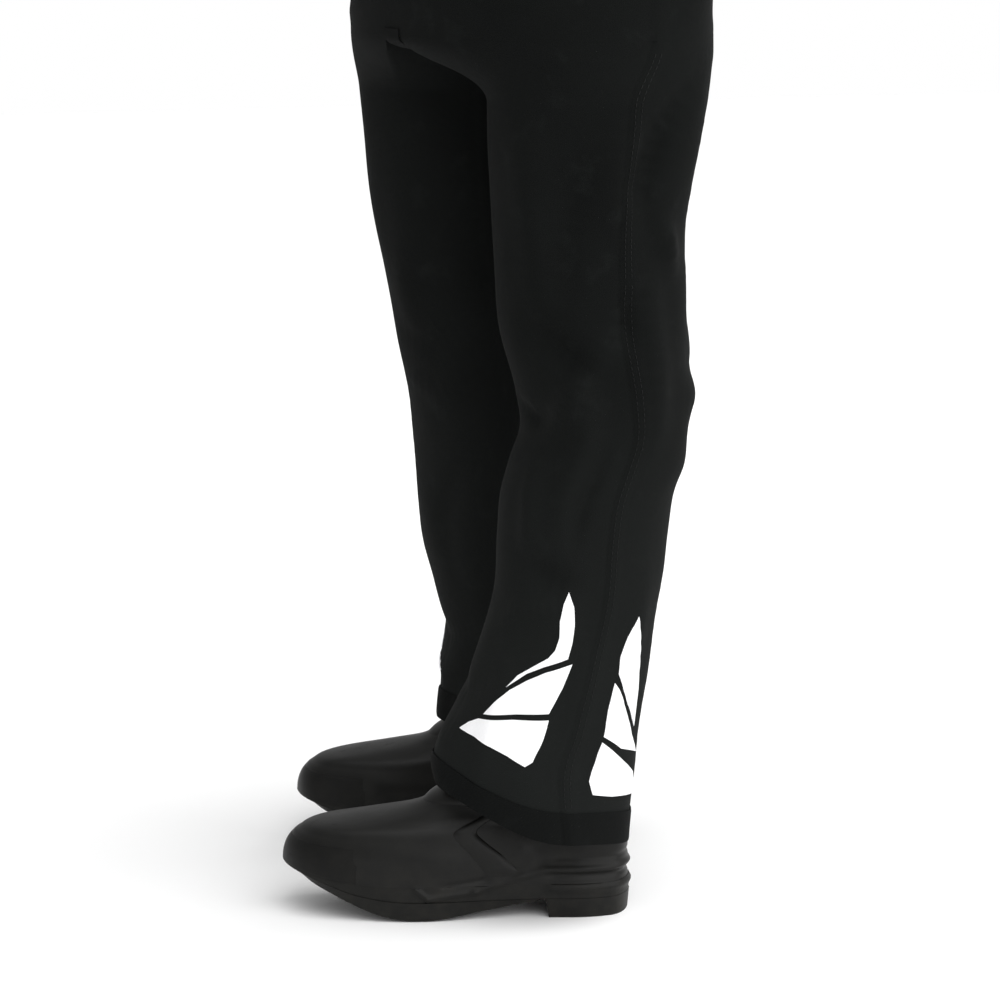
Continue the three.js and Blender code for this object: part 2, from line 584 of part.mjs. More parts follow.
// The outline at a height, grown by an offset. An inner wall takes its outline from a little higher up, so that the
// sloping instep keeps its thickness.
function bootRing(side, height, offset, above = 0) {
  const z = height + above;
  const heights = bootRows.map((row) => -row[0]);
  const read = (k) => atHeight(bootRows.map((row) => row[k]), heights, -z);
  const [low, high] = [bootRows.at(-1)[0], 240];
  const rise = THREE.MathUtils.clamp((z - low) / (high - low), 0, 1);
  const shinMiddle = atHeight(legBack[side], legHeights, Math.max(z, high)) - bootBack[side] + shaftRest;
  const frontY = THREE.MathUtils.lerp(read(1), shinMiddle - shaftHalf.deep, rise) - offset;
  const backY = THREE.MathUtils.lerp(read(2), shinMiddle + shaftHalf.deep, rise) + offset;
  const wide = THREE.MathUtils.lerp(read(3), shaftHalf.wide, rise) + offset;
  const oval = THREE.MathUtils.lerp(read(4), 1, rise);
  const ring = [];
  const upright = new THREE.Vector3(0, 0, 1);
  for (let i = 0; i < ringPoints; i++) {
    const share = i / ringPoints;
    const foot = footprint.getPointAt(share);
    const turn = share * 2 * Math.PI;
    const along = (foot.y - toeAt) / bootLength;
    const x = THREE.MathUtils.lerp(foot.x / footprintHalf, Math.sin(turn), oval) * wide;
    const y = THREE.MathUtils.lerp(frontY, backY, THREE.MathUtils.lerp(along, (1 + Math.cos(turn)) / 2, oval));
    ring.push(new THREE.Vector3(x, y, height).applyAxisAngle(upright, degrees(toeTurn[side]) * (1 - rise)));
  }
  return ring;
}

function bootSolid(side, offset, heights, above = 0) {
  return toSolid(loft(heights.map((z) => bootRing(side, z, offset, above))));
}

const pullHandle = { wide: 40, high: 34, thick: 3.5, sunk: 10 };

function bootGeometries(side) {
  const arch = sideCutter([[6, -1], [6, 11], [-14, 12], [-50, 9], [-95, 3], [-130, -1]]);
  const toeSpring = sideCutter([[-150, -1], [-187, 4], [-216, 13], [toeAt - 12, 27], [toeAt - 12, -1]]);
  const turned = (solid) => solid.rotate([0, 0, toeTurn[side]]);
  const outsole = turned(toSolid(footLayer(0, 0, soleThick)).subtract(arch).subtract(toeSpring));
  const midsole = turned(toSolid(footLayer(1.5, soleThick + seam, midsoleTop)).subtract(toeSpring));

  const footHeights = bootRows.map((row) => row[0]);
  const heights = [...footHeights, 180, 240, shaftTop];
  const floor = midsoleTop + seam + bootWall;
  const outer = bootSolid(side, 0, heights);
  const innerHeights = [floor, ...heights.slice(1, -1).map((z) => z - bootWall), shaftTop + 1];
  const inner = bootSolid(side, -bootWall, innerHeights, bootWall);
  // Two pull handles stand on the rim, each with its finger hole.
  const rim = bootRing(side, shaftTop, -bootWall / 2);
  let upper = outer.subtract(inner);
  for (const quarterTurn of [1, 3]) {
    const { x, y } = rim[(quarterTurn * ringPoints) / 4];
    const middle = shaftTop + pullHandle.high / 2;
    const plate = toSolid(block(pullHandle.thick, pullHandle.wide, pullHandle.high + pullHandle.sunk, x, y,
      middle - pullHandle.sunk / 2));
    const hole = toSolid(block(20, pullHandle.wide - 16, pullHandle.high - 16, x, y, middle));
    upper = upper.add(plate.subtract(hole));
  }

  const clear = bootSolid(side, seam, [footHeights[0] - 1, ...heights.slice(1)]);
  const bumperHigh = [footHeights[0] + 0.05, 46, 60, 66];
  const toeEnd = turned(toSolid(block(200, 110, 200, 0, toeAt, 60)));
  const bumper = bootSolid(side, 3.2, bumperHigh).subtract(clear).intersect(toeEnd);

  const strapPlace = (s, t, face) => {
    const z = 121 - 66 * Math.abs(s) ** 1.4 - 5 * t * (1 - Math.abs(s));
    const ring = bootRing(side, z, face ? 3.4 : -1.5);
    const share = (0.5 - 0.2 * s + 0.016 * t * Math.sign(s)) * ringPoints;
    const i = Math.floor(share);
    return ring[i % ringPoints].clone().lerp(ring[(i + 1) % ringPoints], share - i);
  };
  const strap = toSolid(slab(strapPlace, spaced(-1, 1, 14), [-1, 1])).subtract(clear);

  const insole = bootSolid(side, -bootWall - 1, [floor + seam, floor + seam + 4]);
  return {
    boot_outsole: [outsole, soleRubber],
    boot_midsole: [midsole, soleRubber],
    boot_upper: [upper, rubber],
    boot_toe_bumper: [bumper, soleRubber],
    boot_instep_strap: [strap, rubber],
    boot_insole: [insole, insoleFelt],
  };
}

for (const side of ["left", "right"]) {
  const boot = new THREE.Group();
  boot.position.set(sides[side] * bootAcross, bootBack[side], 0);
  boot.scale.x = sides[side];
  for (const [name, [solid, material]] of Object.entries(bootGeometries(side)))
    add(boot, `${side}_${name}`, toGeometry(solid), material);
  pants.add(boot);
}

// ---------- Origin ----------
// The middle of the bounding box goes over the origin, on the ground.
const bounds = new THREE.Box3().setFromObject(pants);
const centre = bounds.getCenter(new THREE.Vector3());
pants.position.set(-centre.x, -centre.y, -bounds.min.z);

// Where the joints' axes are: for each a point in mm, an axis, and its limits in degrees, or in mm on a slide.
pants.updateMatrixWorld(true);
const at = (v) => v.clone().add(pants.position).toArray();
const pointIn = (frame, x, y, z) => new THREE.Vector3(x, y, z).applyMatrix4(frame.matrixWorld).toArray();
const axisIn = (frame, x, z) => new THREE.Vector3(x, 0, z).transformDirection(frame.matrixWorld).toArray();
const joints = {
  waist_tab: {
    point: at(bandPoint(tab.from, waistHeight - tab.middle, 2 * seam + bandThick + tab.thick)),
    axis: axisIn(front, 0, 1),
    range: [0, 150],
  },
  zip_slider: { axis: axisIn(front, 0, 1), range: [-zipLength, 0] },
  zip_pull: { point: pointIn(front, 0, pullY, pullTop - 0.75), axis: axisIn(front, -1, 0), range: [0, 150] },
};
for (const side of ["left", "right"]) {
  const out = sides[side];
  const hipAt = new THREE.Vector3(out * legOut[0], legBack[side][0] - 4, crotchHeight + 50);
  joints[`${side}_hip`] = { point: at(hipAt), axis: [-1, 0, 0], range: [hipSwing.back, hipSwing.front] };
  const [kneeOut, kneeBack] = [legOut, legBack[side]].map((list) => atHeight(list, legHeights, kneeHeight));
  const kneeAt = new THREE.Vector3(out * kneeOut, kneeBack + 12, kneeHeight);
  joints[`${side}_knee`] = { point: at(kneeAt), axis: [1, 0, 0], range: [0, kneeBend] };
  const frame = buckleFrames[side];
  joints[`${side}_buckle`] = {
    point: pointIn(frame, (out * buckle.long) / 2, -seam - buckle.thick, 0),
    axis: axisIn(frame, 0, out),
    range: [0, 40],
  };
}
pants.userData.joints = joints;

export default pants;
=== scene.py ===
# Firefighter's bunker pants over rubber boots. Shapes are worked out in millimetres, in the frame of the part's source
# before it is centred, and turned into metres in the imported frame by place().
import json
import math
from functools import partial
import bmesh
import bpy
import numpy as np
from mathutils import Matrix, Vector
from mathutils.geometry import delaunay_2d_cdt


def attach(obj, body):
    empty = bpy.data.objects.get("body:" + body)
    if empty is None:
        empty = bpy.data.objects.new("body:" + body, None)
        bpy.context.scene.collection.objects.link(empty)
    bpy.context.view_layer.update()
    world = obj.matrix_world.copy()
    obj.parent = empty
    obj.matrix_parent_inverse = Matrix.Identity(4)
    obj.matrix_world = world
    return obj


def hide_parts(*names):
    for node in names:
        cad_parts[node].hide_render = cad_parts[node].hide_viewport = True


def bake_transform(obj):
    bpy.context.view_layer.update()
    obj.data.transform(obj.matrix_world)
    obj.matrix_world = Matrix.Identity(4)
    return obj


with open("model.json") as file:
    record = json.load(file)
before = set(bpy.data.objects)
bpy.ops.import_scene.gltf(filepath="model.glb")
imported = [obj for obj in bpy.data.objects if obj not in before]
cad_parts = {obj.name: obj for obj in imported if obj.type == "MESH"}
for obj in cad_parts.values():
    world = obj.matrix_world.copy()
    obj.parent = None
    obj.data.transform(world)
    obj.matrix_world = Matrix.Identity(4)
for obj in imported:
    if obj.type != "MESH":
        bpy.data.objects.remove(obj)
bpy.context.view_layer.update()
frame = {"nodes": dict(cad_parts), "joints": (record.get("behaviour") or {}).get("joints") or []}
SOURCE_HIP = (0.110, 0.056, 0.850)  # the left hip joint in the part's source, in metres
hip = next(j["pos_m"] for j in frame["joints"] if j["name"] == "left_hip")
shift = np.array(hip) - np.array(SOURCE_HIP)

# ---------- Dimensions, in mm ----------
SIDES = {"left": 1, "right": -1}
SEAM = 0.4
SHELL = 3.0
LINER_OUT, LINER_IN = -SHELL - 1.2, -SHELL - 4.2  # the liner's two faces, from the shell's outer face
BAND = 3.2
WAIST, HIP, CROTCH, SPLIT = 1050, 850, 800, 590
KNEE_TOP, KNEE_LOW = 580, 380
HEM_MIDDLE, HEM_RISE = 95, 29
HEM_DIP, HEM_DIP_AT, HEM_DIP_WIDE = {"left": 15.5, "right": 4}, math.radians(-19), math.radians(38)
CUFF = 28
SEAT_TURN, SEAT_BACK = math.radians(16), 28
SEAT_KNOTS = [CROTCH, HIP, WAIST]
SEAT_WIDE, SEAT_DEEP = [203, 202, 168], [146, 148, 120]  # the seat's half sizes at those heights
STRIP = 12  # half the flat strip down the seat's middle, and the turn that it takes up
STRIP_ANGLE = math.radians(8)
QUARTER = math.pi / 2
ROUND = 88  # mean radius of a leg, to turn angles into lengths
FORK_LOW = 742  # below this the legs stand apart
WALL_FROM = math.radians(128)  # where a leg's inner wall begins, at the fork

LEG_Z = [70, 220, 350, 480, 560, 660, 800]
LEG_WIDE = [84, 81, 82, 85, 88, 92, 97]
LEG_OUT = [122, 122, 118, 114, 112, 110, 110]
LEG_FRONT = {
    "left": ([70, 100, 122, 145, 164, 177, 202, 244, 296, 351, 388, 416, 444, 480, 535, 600, 661, 724, 800],
             [-80, -86, -93, -97, -90, -81, -71, -54, -37, -33, -30, -21, -10, -15, -29, -34, -37, -40, -42]),
    "right": ([70, 115, 160, 218, 258, 298, 338, 398, 437, 496, 538, 574, 635, 702, 800],
              [-22, -26, -22, -20, -29, -40, -45, -49, -54, -66, -74, -81, -93, -100, -108]),
}
LEG_REAR = {
    "left": ([70, 110, 145, 202, 258, 314, 351, 388, 416, 444, 480, 535, 571, 622, 661, 724, 800],
             [84, 88, 93, 101, 109, 118, 122, 128, 137, 143, 146, 143, 141, 142, 146, 158, 162]),
    "right": ([70, 220, 350, 480, 560, 660, 800], [158, 141, 116, 109, 100, 98, 96]),
}


# ---------- Arithmetic ----------
def spread(*values):
    """The values as arrays of one shape."""
    return np.broadcast_arrays(*[np.asarray(v, float) for v in values])


def hermite(t, h, start, rise, end, fall):
    """A smooth line from start to end over a length h, with the slope at each end."""
    return ((1 + 2 * t) * (1 - t) ** 2 * start + t * (1 - t) ** 2 * h * rise
            + t * t * (3 - 2 * t) * end - t * t * (1 - t) * h * fall)


def curve(x, knots, values):
    """A smooth line through the knots, which rise."""
    k, v = np.array(knots, float), np.array(values, float)
    slope = np.gradient(v, k)
    x = np.clip(x, k[0], k[-1])
    i = np.clip(np.searchsorted(k, x) - 1, 0, len(k) - 2)
    h = k[i + 1] - k[i]
    return hermite((x - k[i]) / h, h, v[i], slope[i], v[i + 1], slope[i + 1])


def smooth(x, low, high):
    """Rises from 0 at low to 1 at high. The two may be in either order."""
    t = np.clip((x - low) / (high - low), 0, 1)
    return t * t * (3 - 2 * t)


def seat_frame(x, y, z):
    """Turns the seat's own frame into the source's."""
    c, s = math.cos(SEAT_TURN), math.sin(SEAT_TURN)
    x, y, z = spread(x, y, z)
    return np.stack([x * c - y * s, x * s + y * c + SEAT_BACK, z], -1)


# ---------- Folds ----------
# Each stroke is a line of (angle in degrees, height), how far it stands out, and its half width.
LEFT_FOLDS = [
    ([(-56, 545), (-40, 528), (-22, 508)], -6, 15), ([(-52, 462), (-30, 500), (-9, 536)], 5, 12),
    ([(-30, 492), (-33, 441), (-37, 382)], 4.5, 14), ([(-17, 430), (-21, 395), (-25, 355)], -3, 9),
    ([(-58, 332), (-42, 322), (-26, 314)], -5.5, 13), ([(-68, 284), (-48, 294), (-24, 303)], 4, 10),
    ([(15, 610), (17, 520), (12, 430)], 4.5, 16), ([(2, 578), (3, 530)], -3, 6),
    ([(38, 760), (21, 720), (13, 672), (20, 634)], -7, 14), ([(22, 648), (36, 604)], 4.5, 12),
    ([(-58, 730), (-52, 640), (-48, 570)], 3, 18), ([(-26, 690), (-36, 620), (-38, 570)], -3.5, 15),
    ([(-6, 345), (-12, 230), (-8, 130)], -3, 12), ([(28, 350), (31, 240), (26, 130)], 3, 15),
    ([(-62, 262), (-50, 190), (-46, 130)], 3, 12), ([(-95, 470), (-75, 462), (-58, 470)], -3.5, 9),
    ([(-64, 420), (-56, 380), (-58, 340)], 3, 12), ([(0, 640), (-6, 700), (-2, 770)], 2.5, 16),
]
RIGHT_FOLDS = [
    ([(-120, 640), (-112, 560), (-118, 480)], 3, 16), ([(-150, 520), (-128, 500), (-104, 512)], -4, 12),
    ([(-150, 470), (-125, 455), (-100, 466)], 3.5, 11), ([(-140, 400), (-120, 330), (-122, 260)], -3.5, 13),
    ([(-60, 560), (-40, 500), (-20, 470)], 5, 13), ([(-62, 520), (-40, 470), (-24, 430)], -5, 12),
    ([(20, 700), (12, 620), (22, 540)], 4, 16), ([(38, 760), (22, 710), (30, 640)], -6, 14),
    ([(-10, 400), (-16, 280), (-8, 150)], -3, 12), ([(30, 380), (26, 250), (34, 140)], 3.5, 14),
]
SHARED_FOLDS = [
    ([(52, 512), (88, 496), (128, 512)], -3.5, 11), ([(48, 480), (90, 470), (132, 482)], 3, 12),
    ([(58, 450), (92, 440), (124, 452)], -3.5, 11), ([(50, 418), (90, 408), (128, 420)], 2.5, 12),
    ([(-128, 222), (-92, 208), (-58, 226)], -3.5, 10), ([(-130, 186), (-92, 172), (-56, 188)], 3.5, 10),
    ([(150, 560), (172, 470), (160, 380)], 4, 15), ([(178, 420), (196, 330), (188, 220)], -4, 13),
    ([(140, 330), (150, 230), (144, 130)], 3, 13), ([(120, 740), (112, 680), (118, 620)], 3, 14),
    ([(70, 300), (78, 220), (72, 140)], -3, 14), ([(100, 340), (106, 250), (98, 150)], 3, 14),
    ([(60, 600), (76, 660), (70, 740)], -4, 16), ([(48, 980), (58, 900), (52, 820)], -4, 16),
    ([(24, 960), (30, 880), (22, 800)], 4, 16), ([(-30, 980), (-22, 900), (-30, 820)], -3.5, 15),
    ([(-56, 960), (-48, 890), (-58, 810)], 4, 16), ([(-78, 860), (-60, 830), (-36, 818)], -4.5, 11),
    ([(-74, 830), (-54, 800), (-34, 788)], 4, 11), ([(80, 850), (60, 820), (38, 806)], -4, 12),
    ([(78, 818), (60, 790), (36, 776)], 4, 12), ([(0, 1000), (4, 930), (-4, 860)], 3, 18),
]


def chance_folds(side):
    """Small soft folds spread over a leg, smaller still on its plainer outer side."""
    rng = np.random.default_rng(11 if side == "left" else 12)
    made = []
    for _ in range(34):
        angle, z = rng.uniform(-180, 180), rng.uniform(130, 1000)
        lean, long = rng.normal(0, 16), rng.uniform(35, 90)
        size = rng.uniform(0.8, 2.4) * rng.choice((-1, 1))
        if -110 < angle < 70:
            size *= 0.5
        made.append(([(angle - lean, z + long), (angle + rng.normal(0, 4), z), (angle + lean, z - long)], size,
                     rng.uniform(8, 17)))
    return made


def dotted(strokes):
    """Each stroke as a run of soft dots: angle, height, share of its size, and reach, with the size itself."""
    made = []
    for line, size, wide in strokes:
        fine = [line[0]]
        for (a0, z0), (a1, z1) in zip(line, line[1:]):
            n = max(2, int(math.hypot(math.radians(a1 - a0) * ROUND, z1 - z0) / wide) + 1)
            fine += [(a0 + (a1 - a0) * t / n, z0 + (z1 - z0) * t / n) for t in range(1, n + 1)]
        taper = [math.sin(math.pi * (k + 0.6) / (len(fine) + 0.2)) ** 0.7 for k in range(len(fine))]
        made.append((size, wide, [(math.radians(a), z, t) for (a, z), t in zip(fine, taper)]))
    return made


# The strokes traced on the near leg, made deeper than they measured so that they read in soft light.
SHIN_TOP, SHIN_GAIN, UPPER_GAIN = 360, 1.5, 2.1
TRACED = [(line, size * (UPPER_GAIN if line[0][1] > SHIN_TOP else SHIN_GAIN), wide)
          for line, size, wide in LEFT_FOLDS]
FOLDS = {"left": dotted(TRACED + SHARED_FOLDS + chance_folds("left")),
         "right": dotted(RIGHT_FOLDS + SHARED_FOLDS + chance_folds("right"))}


def folds(side, a, z):
    """How far the cloth stands out from its plain shape, in mm."""
    a, z = spread(a, z)
    total = 0.35 * np.sin(3 * a + z / 37) * np.sin(z / 23 + 2 * a) + 0.3 * np.sin(7 * a - z / 19)
    for size, wide, dots in FOLDS[side]:
        heights = [z0 for _, z0, _ in dots]
        near_z = (z > min(heights) - 3 * wide) & (z < max(heights) + 3 * wide)
        if not near_z.any():
            continue
        aa, zz = a[near_z], z[near_z]
        best = np.zeros(aa.shape)
        for angle, height, taper in dots:
            turn = (aa - angle + math.pi) % (2 * math.pi) - math.pi
            best = np.maximum(best, taper * np.exp(-((turn * ROUND) ** 2 + (zz - height) ** 2) / (wide * 1.15) ** 2))
        total[near_z] += size * best
    return total * smooth(z, 1046, 985) * (1 - np.exp(-((z - CROTCH) / 26) ** 2))


def hem(side, a):
    """The hem's height. The near leg's dips at its outer side, where it settles on the boot."""
    a = (np.asarray(a, float) + math.pi) % (2 * math.pi) - math.pi
    level = HEM_MIDDLE - HEM_RISE * np.sin(a)
    return level - HEM_DIP[side] * np.exp(-((a - HEM_DIP_AT) / HEM_DIP_WIDE) ** 2)


def leg(side, a, z, off):
    """Places on a leg. Angle 0 is its outer side and -90 degrees its front; off is how far out of the plain shell."""
    a, z, off = spread(a, z, off)
    s = SIDES[side]
    off = off + folds(side, a, z)
    front, rear = curve(z, *LEG_FRONT[side]), curve(z, *LEG_REAR[side])
    wide, out = curve(z, LEG_Z, LEG_WIDE), curve(z, LEG_Z, LEG_OUT)
    round_leg = np.stack([s * (out + (wide + off) * np.cos(a)),
                          (front + rear) / 2 + ((rear - front) / 2 + off) * np.sin(a), z], -1)
    wall = STRIP + SEAM
    turn = (a + math.pi) % (2 * math.pi) - math.pi
    bend = np.clip(turn * QUARTER / WALL_FROM, -QUARTER, QUARTER)
    inside = np.clip((np.abs(turn) - WALL_FROM) / (math.pi - WALL_FROM), 0, 1)
    half = seat_frame(s * (wall + (SEAT_WIDE[0] + off - wall) * np.cos(bend)),
                      (SEAT_DEEP[0] + off) * np.sin(bend) * (1 - inside), z)
    share = smooth(z, FORK_LOW, CROTCH)[..., None]
    return round_leg * (1 - share) + half * share


def seat(side, a, z, off, folded=True):
    """Places on one half of the seat. Beyond a quarter turn either way lies the strip down its middle."""
    a, z, off = spread(a, z, off)
    flat = smooth(a, -QUARTER + 0.35, -QUARTER + 0.1)  # no folds under the zip
    off = off + (folds(side, a, z) * (1 - flat) if folded else 0)
    wide = curve(z, SEAT_KNOTS, SEAT_WIDE) + off
    deep = curve(z, SEAT_KNOTS, SEAT_DEEP) * (1 - flat) + np.interp(z, SEAT_KNOTS, SEAT_DEEP) * flat + off
    bend = np.clip(a, -QUARTER, QUARTER)
    inwards = 1 - (np.abs(a) - np.abs(bend)) / STRIP_ANGLE
    x = STRIP * inwards + (wide - STRIP) * np.cos(bend)
    return seat_frame(SIDES[side] * x, deep * np.sin(bend), z)


# ---------- Meshes ----------
def place(points):
    return np.asarray(points, float) / 1000 + shift


def add(name, data):
    """A new object in the scene."""
    obj = bpy.data.objects.new(name, data)
    bpy.context.scene.collection.objects.link(obj)
    return obj


def make(name, points, faces, body, material, slot, replaces=(), uv=None, sharp=50, blend=None):
    """A piece from points in mm. It rides on body, or, when blend is given, stays fixed where it is made; the bodies
    that blend names are not used.
    """
    mesh = bpy.data.meshes.new(name)
    mesh.from_pydata(place(points).tolist(), [], faces)
    mesh.validate()
    if uv is not None:
        layer = mesh.uv_layers.new(name="metres")
        index = np.zeros(len(mesh.loops), int)
        mesh.loops.foreach_get("vertex_index", index)
        layer.data.foreach_set("uv", np.asarray(uv, float)[index].ravel())
    mesh.polygons.foreach_set("use_smooth", [True] * len(mesh.polygons))
    mesh.set_sharp_from_angle(angle=math.radians(sharp))
    obj = add(name, mesh)
    mesh.materials.append(material)
    turn_out(mesh)
    if blend:
        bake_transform(obj)
    else:
        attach(obj, body)
    if replaces:
        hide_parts(*replaces)
    return obj


def turn_out(mesh):
    """Turns every face outwards."""
    bm = bmesh.new()
    bm.from_mesh(mesh)
    bmesh.ops.recalc_face_normals(bm, faces=bm.faces)
    bm.to_mesh(mesh)
    bm.free()


def slab(outer, inner, ring=False):
    """Points and faces of a closed sheet between two grids of the same shape (rows, columns, 3)."""
    rows, cols = outer.shape[:2]
    points = np.concatenate([outer.reshape(-1, 3), inner.reshape(-1, 3)])
    n = rows * cols
    faces = []
    across = cols if ring else cols - 1
    for j in range(rows - 1):
        for i in range(across):
            k = (i + 1) % cols
            a, b, c, d = j * cols + i, j * cols + k, (j + 1) * cols + k, (j + 1) * cols + i
            faces.append((a, b, c, d))
            faces.append((n + a, n + d, n + c, n + b))
    for j in (0, rows - 1):
        for i in range(across):
            k = (i + 1) % cols
            a, b = j * cols + i, j * cols + k
            faces.append((a, n + a, n + b, b) if j == 0 else (b, n + b, n + a, a))
    if not ring:
        for i in (0, cols - 1):
            for j in range(rows - 1):
                a, b = j * cols + i, (j + 1) * cols + i
                faces.append((a, b, n + b, n + a) if i == 0 else (b, a, n + a, n + b))
    return points, faces


def lengths(grid):
    """Distances along the columns and rows of a grid, in metres, for the weave."""
    step = np.linalg.norm(np.diff(grid, axis=1), axis=2).mean(0)
    u = np.concatenate([[0], np.cumsum(step)])
    fall = np.linalg.norm(np.diff(grid, axis=0), axis=2).mean(1)
    v = np.concatenate([[0], np.cumsum(fall)])
    uu, vv = np.meshgrid(u, v)
    return np.stack([uu, vv], -1).reshape(-1, 2) / 1000


def make_slab(name, outer, inner, body, material, ring=False, **more):
    """A piece of cloth between two grids, with the lengths along the outer one for its weave."""
    points, faces = slab(outer, inner, ring)
    return make(name, points, faces, body, material, uv=np.tile(lengths(outer), (2, 1)), **more)


def sheet(name, where, angles, heights, outer, inner, body, material, roll=0.0, **more):
    """A closed sheet of cloth. where(angle, height, offset) gives its points; heights may be a (rows, columns) grid.
    roll brings the two faces together at the first and last rows."""
    z = np.asarray(heights, float)
    if z.ndim == 1:
        z = np.repeat(z[:, None], len(angles), 1)
    a = np.repeat(np.asarray(angles, float)[None], len(z), 0)
    ease = np.zeros((len(z), 1))
    if roll:
        ease[[0, -1]] = min(roll, (outer - inner) / 2 - 0.1)
    return make_slab(name, where(a, z, outer - ease + 0 * a), where(a, z, inner + ease + 0 * a), body, material, **more)


# ---------- Materials ----------
WAVE = 0.314  # a wave texture's scale, times the distance in metres from band to band
DUST = (0.062, 0.055, 0.043)


class Shader:
    """A node material under construction: n(kind, inputs, settings) adds a node."""

    def __init__(self, name, colour, rough, metal=0.0, specular=0.3, sheen=0.0, placed=True):
        self.m = bpy.data.materials.new(name)
        self.m.use_nodes = True
        self.tree = self.m.node_tree
        self.base = self.tree.nodes["Principled BSDF"]
        self.set(self.base, {"Base Color": (*colour, 1), "Roughness": rough, "Metallic": metal,
                             "Specular IOR Level": specular, "Sheen Weight": sheen, "Sheen Roughness": 0.5})
        self.at = self.n("TexCoord", out=3) if placed else None

    def set(self, node, values):
        for key, value in values.items():
            if isinstance(value, bpy.types.NodeSocket):
                self.tree.links.new(value, node.inputs[key])
            else:
                node.inputs[key].default_value = value

    def n(self, kind, values=(), out=0, **settings):
        node = self.tree.nodes.new("ShaderNode" + kind)
        for key, value in settings.items():
            setattr(node, key, value)
        self.set(node, dict(values))
        return node.outputs[out]

    def metres(self):
        return self.n("UVMap", uv_map="metres")

    def spots(self, scale, detail=4, rough=0.55):
        values = {"Scale": scale, "Detail": detail, "Roughness": rough}
        if self.at:
            values["Vector"] = self.at
        return self.n("TexNoise", values)

    def streaks(self, stretch, scale, **more):
        """Spots drawn out along some axes."""
        return self.n("TexNoise", {"Vector": self.n("Mapping", {"Vector": self.at, "Scale": stretch}),
                                   "Scale": scale, **more})

    def wave(self, vector, scale, way, distortion=0.0):
        values = {"Vector": vector, "Scale": scale}
        if distortion:
            values.update({"Distortion": distortion, "Detail": 1.0})
        return self.n("TexWave", values, out=1, wave_type="BANDS", bands_direction=way)

    def lattice(self, pitch):
        """Lines both ways, on the bias."""
        tilt = self.n("Mapping", {"Vector": self.metres(), "Rotation": (0, 0, math.radians(45))})
        return self.math("MAXIMUM", *[self.wave(tilt, WAVE / pitch, way) for way in "XY"])

    def ramp(self, factor, low, high):
        node = self.tree.nodes.new("ShaderNodeValToRGB")
        self.tree.links.new(factor, node.inputs["Fac"])
        for element, position in zip(node.color_ramp.elements, (low, high)):
            element.position = position
        return node.outputs["Color"]

    def between(self, factor, low, high):
        return self.n("MapRange", {"Value": factor, 3: low, 4: high})

    def near_floor(self, top, low, most):
        """Rises from 0 at the height top to most at the height low, both in metres."""
        height = self.n("SeparateXYZ", {"Vector": self.at}, out=2)
        return self.n("MapRange", {"Value": height, 1: top, 2: low, 3: 0.0, 4: most})

    def mix(self, factor, a, b):
        node = self.tree.nodes.new("ShaderNodeMix")
        node.data_type = "RGBA"
        sockets = {key: value if isinstance(value, bpy.types.NodeSocket) else (*value, 1)
                   for key, value in ((6, a), (7, b))}
        self.set(node, {0: factor, **sockets})
        return node.outputs[2]

    def over(self, shade, mask, amount, colour):
        """Lays a colour over the shade where the mask is light."""
        return self.mix(self.math("MULTIPLY", mask, amount), shade, colour)

    def math(self, what, a, b):
        return self.n("Math", {0: a, 1: b}, operation=what)

    def bump(self, height, strength, distance, before=None):
        values = {"Height": height, "Strength": strength, "Distance": distance}
        if before is not None:
            values["Normal"] = before
        return self.n("Bump", values)

    def finish(self, colour, rough=None, normal=None):
        for key, value in (("Base Color", colour), ("Roughness", rough), ("Normal", normal)):
            if value is not None:
                self.tree.links.new(value, self.base.inputs[key])
        return self.m


def tinted(colour, k):
    return tuple(c * k for c in colour)


def cloth(name, colour, pitch=0.0011, rough=0.88, strength=0.35, specular=0.06, painted_low_light=0.0):
    """Twill cloth: diagonal ribs, uneven dye, light wear, and painted light that makes it lighter and warmer from the
    knee down.
    """
    s = Shader(name, colour, rough, specular=specular)
    uv = s.metres()
    ribs = s.wave(uv, WAVE / pitch, "DIAGONAL", 0.6)
    cross = s.wave(uv, WAVE / pitch / 1.7, "X", 0.3)
    weave = s.math("ADD", s.math("MULTIPLY_ADD", cross, 0.35), ribs)  # what is added is the node's own 0.5
    dye = s.ramp(s.spots(9, 5, 0.6), 0.32, 0.7)
    worn = s.ramp(s.spots(34, 6, 0.62), 0.56, 0.8)
    shade = s.mix(dye, tinted(colour, 0.78), tinted(colour, 1.22))
    shade = s.over(shade, worn, 0.5, tinted(colour, 2.5))
    shade = s.over(shade, s.ramp(weave, 0.1, 0.5), 0.35, tinted(colour, 0.62))
    # Painted light: the cloth is drawn lighter and warmer below the knee, in place of the brighter light on the lower
    # leg.
    painted_light_share = s.near_floor(0.56, 0.24, painted_low_light)
    shade = s.mix(painted_light_share, shade, tinted((1.02 * colour[0], colour[1], colour[2]), 2.0))
    normal = s.bump(s.spots(150, 5, 0.6), 0.25, 0.0012)
    normal = s.bump(weave, strength, 0.0003, normal)
    normal = s.bump(s.spots(2600, 3), 0.15, 0.0002, normal)
    return s.finish(shade, s.between(dye, rough - 0.05, rough + 0.07), normal)


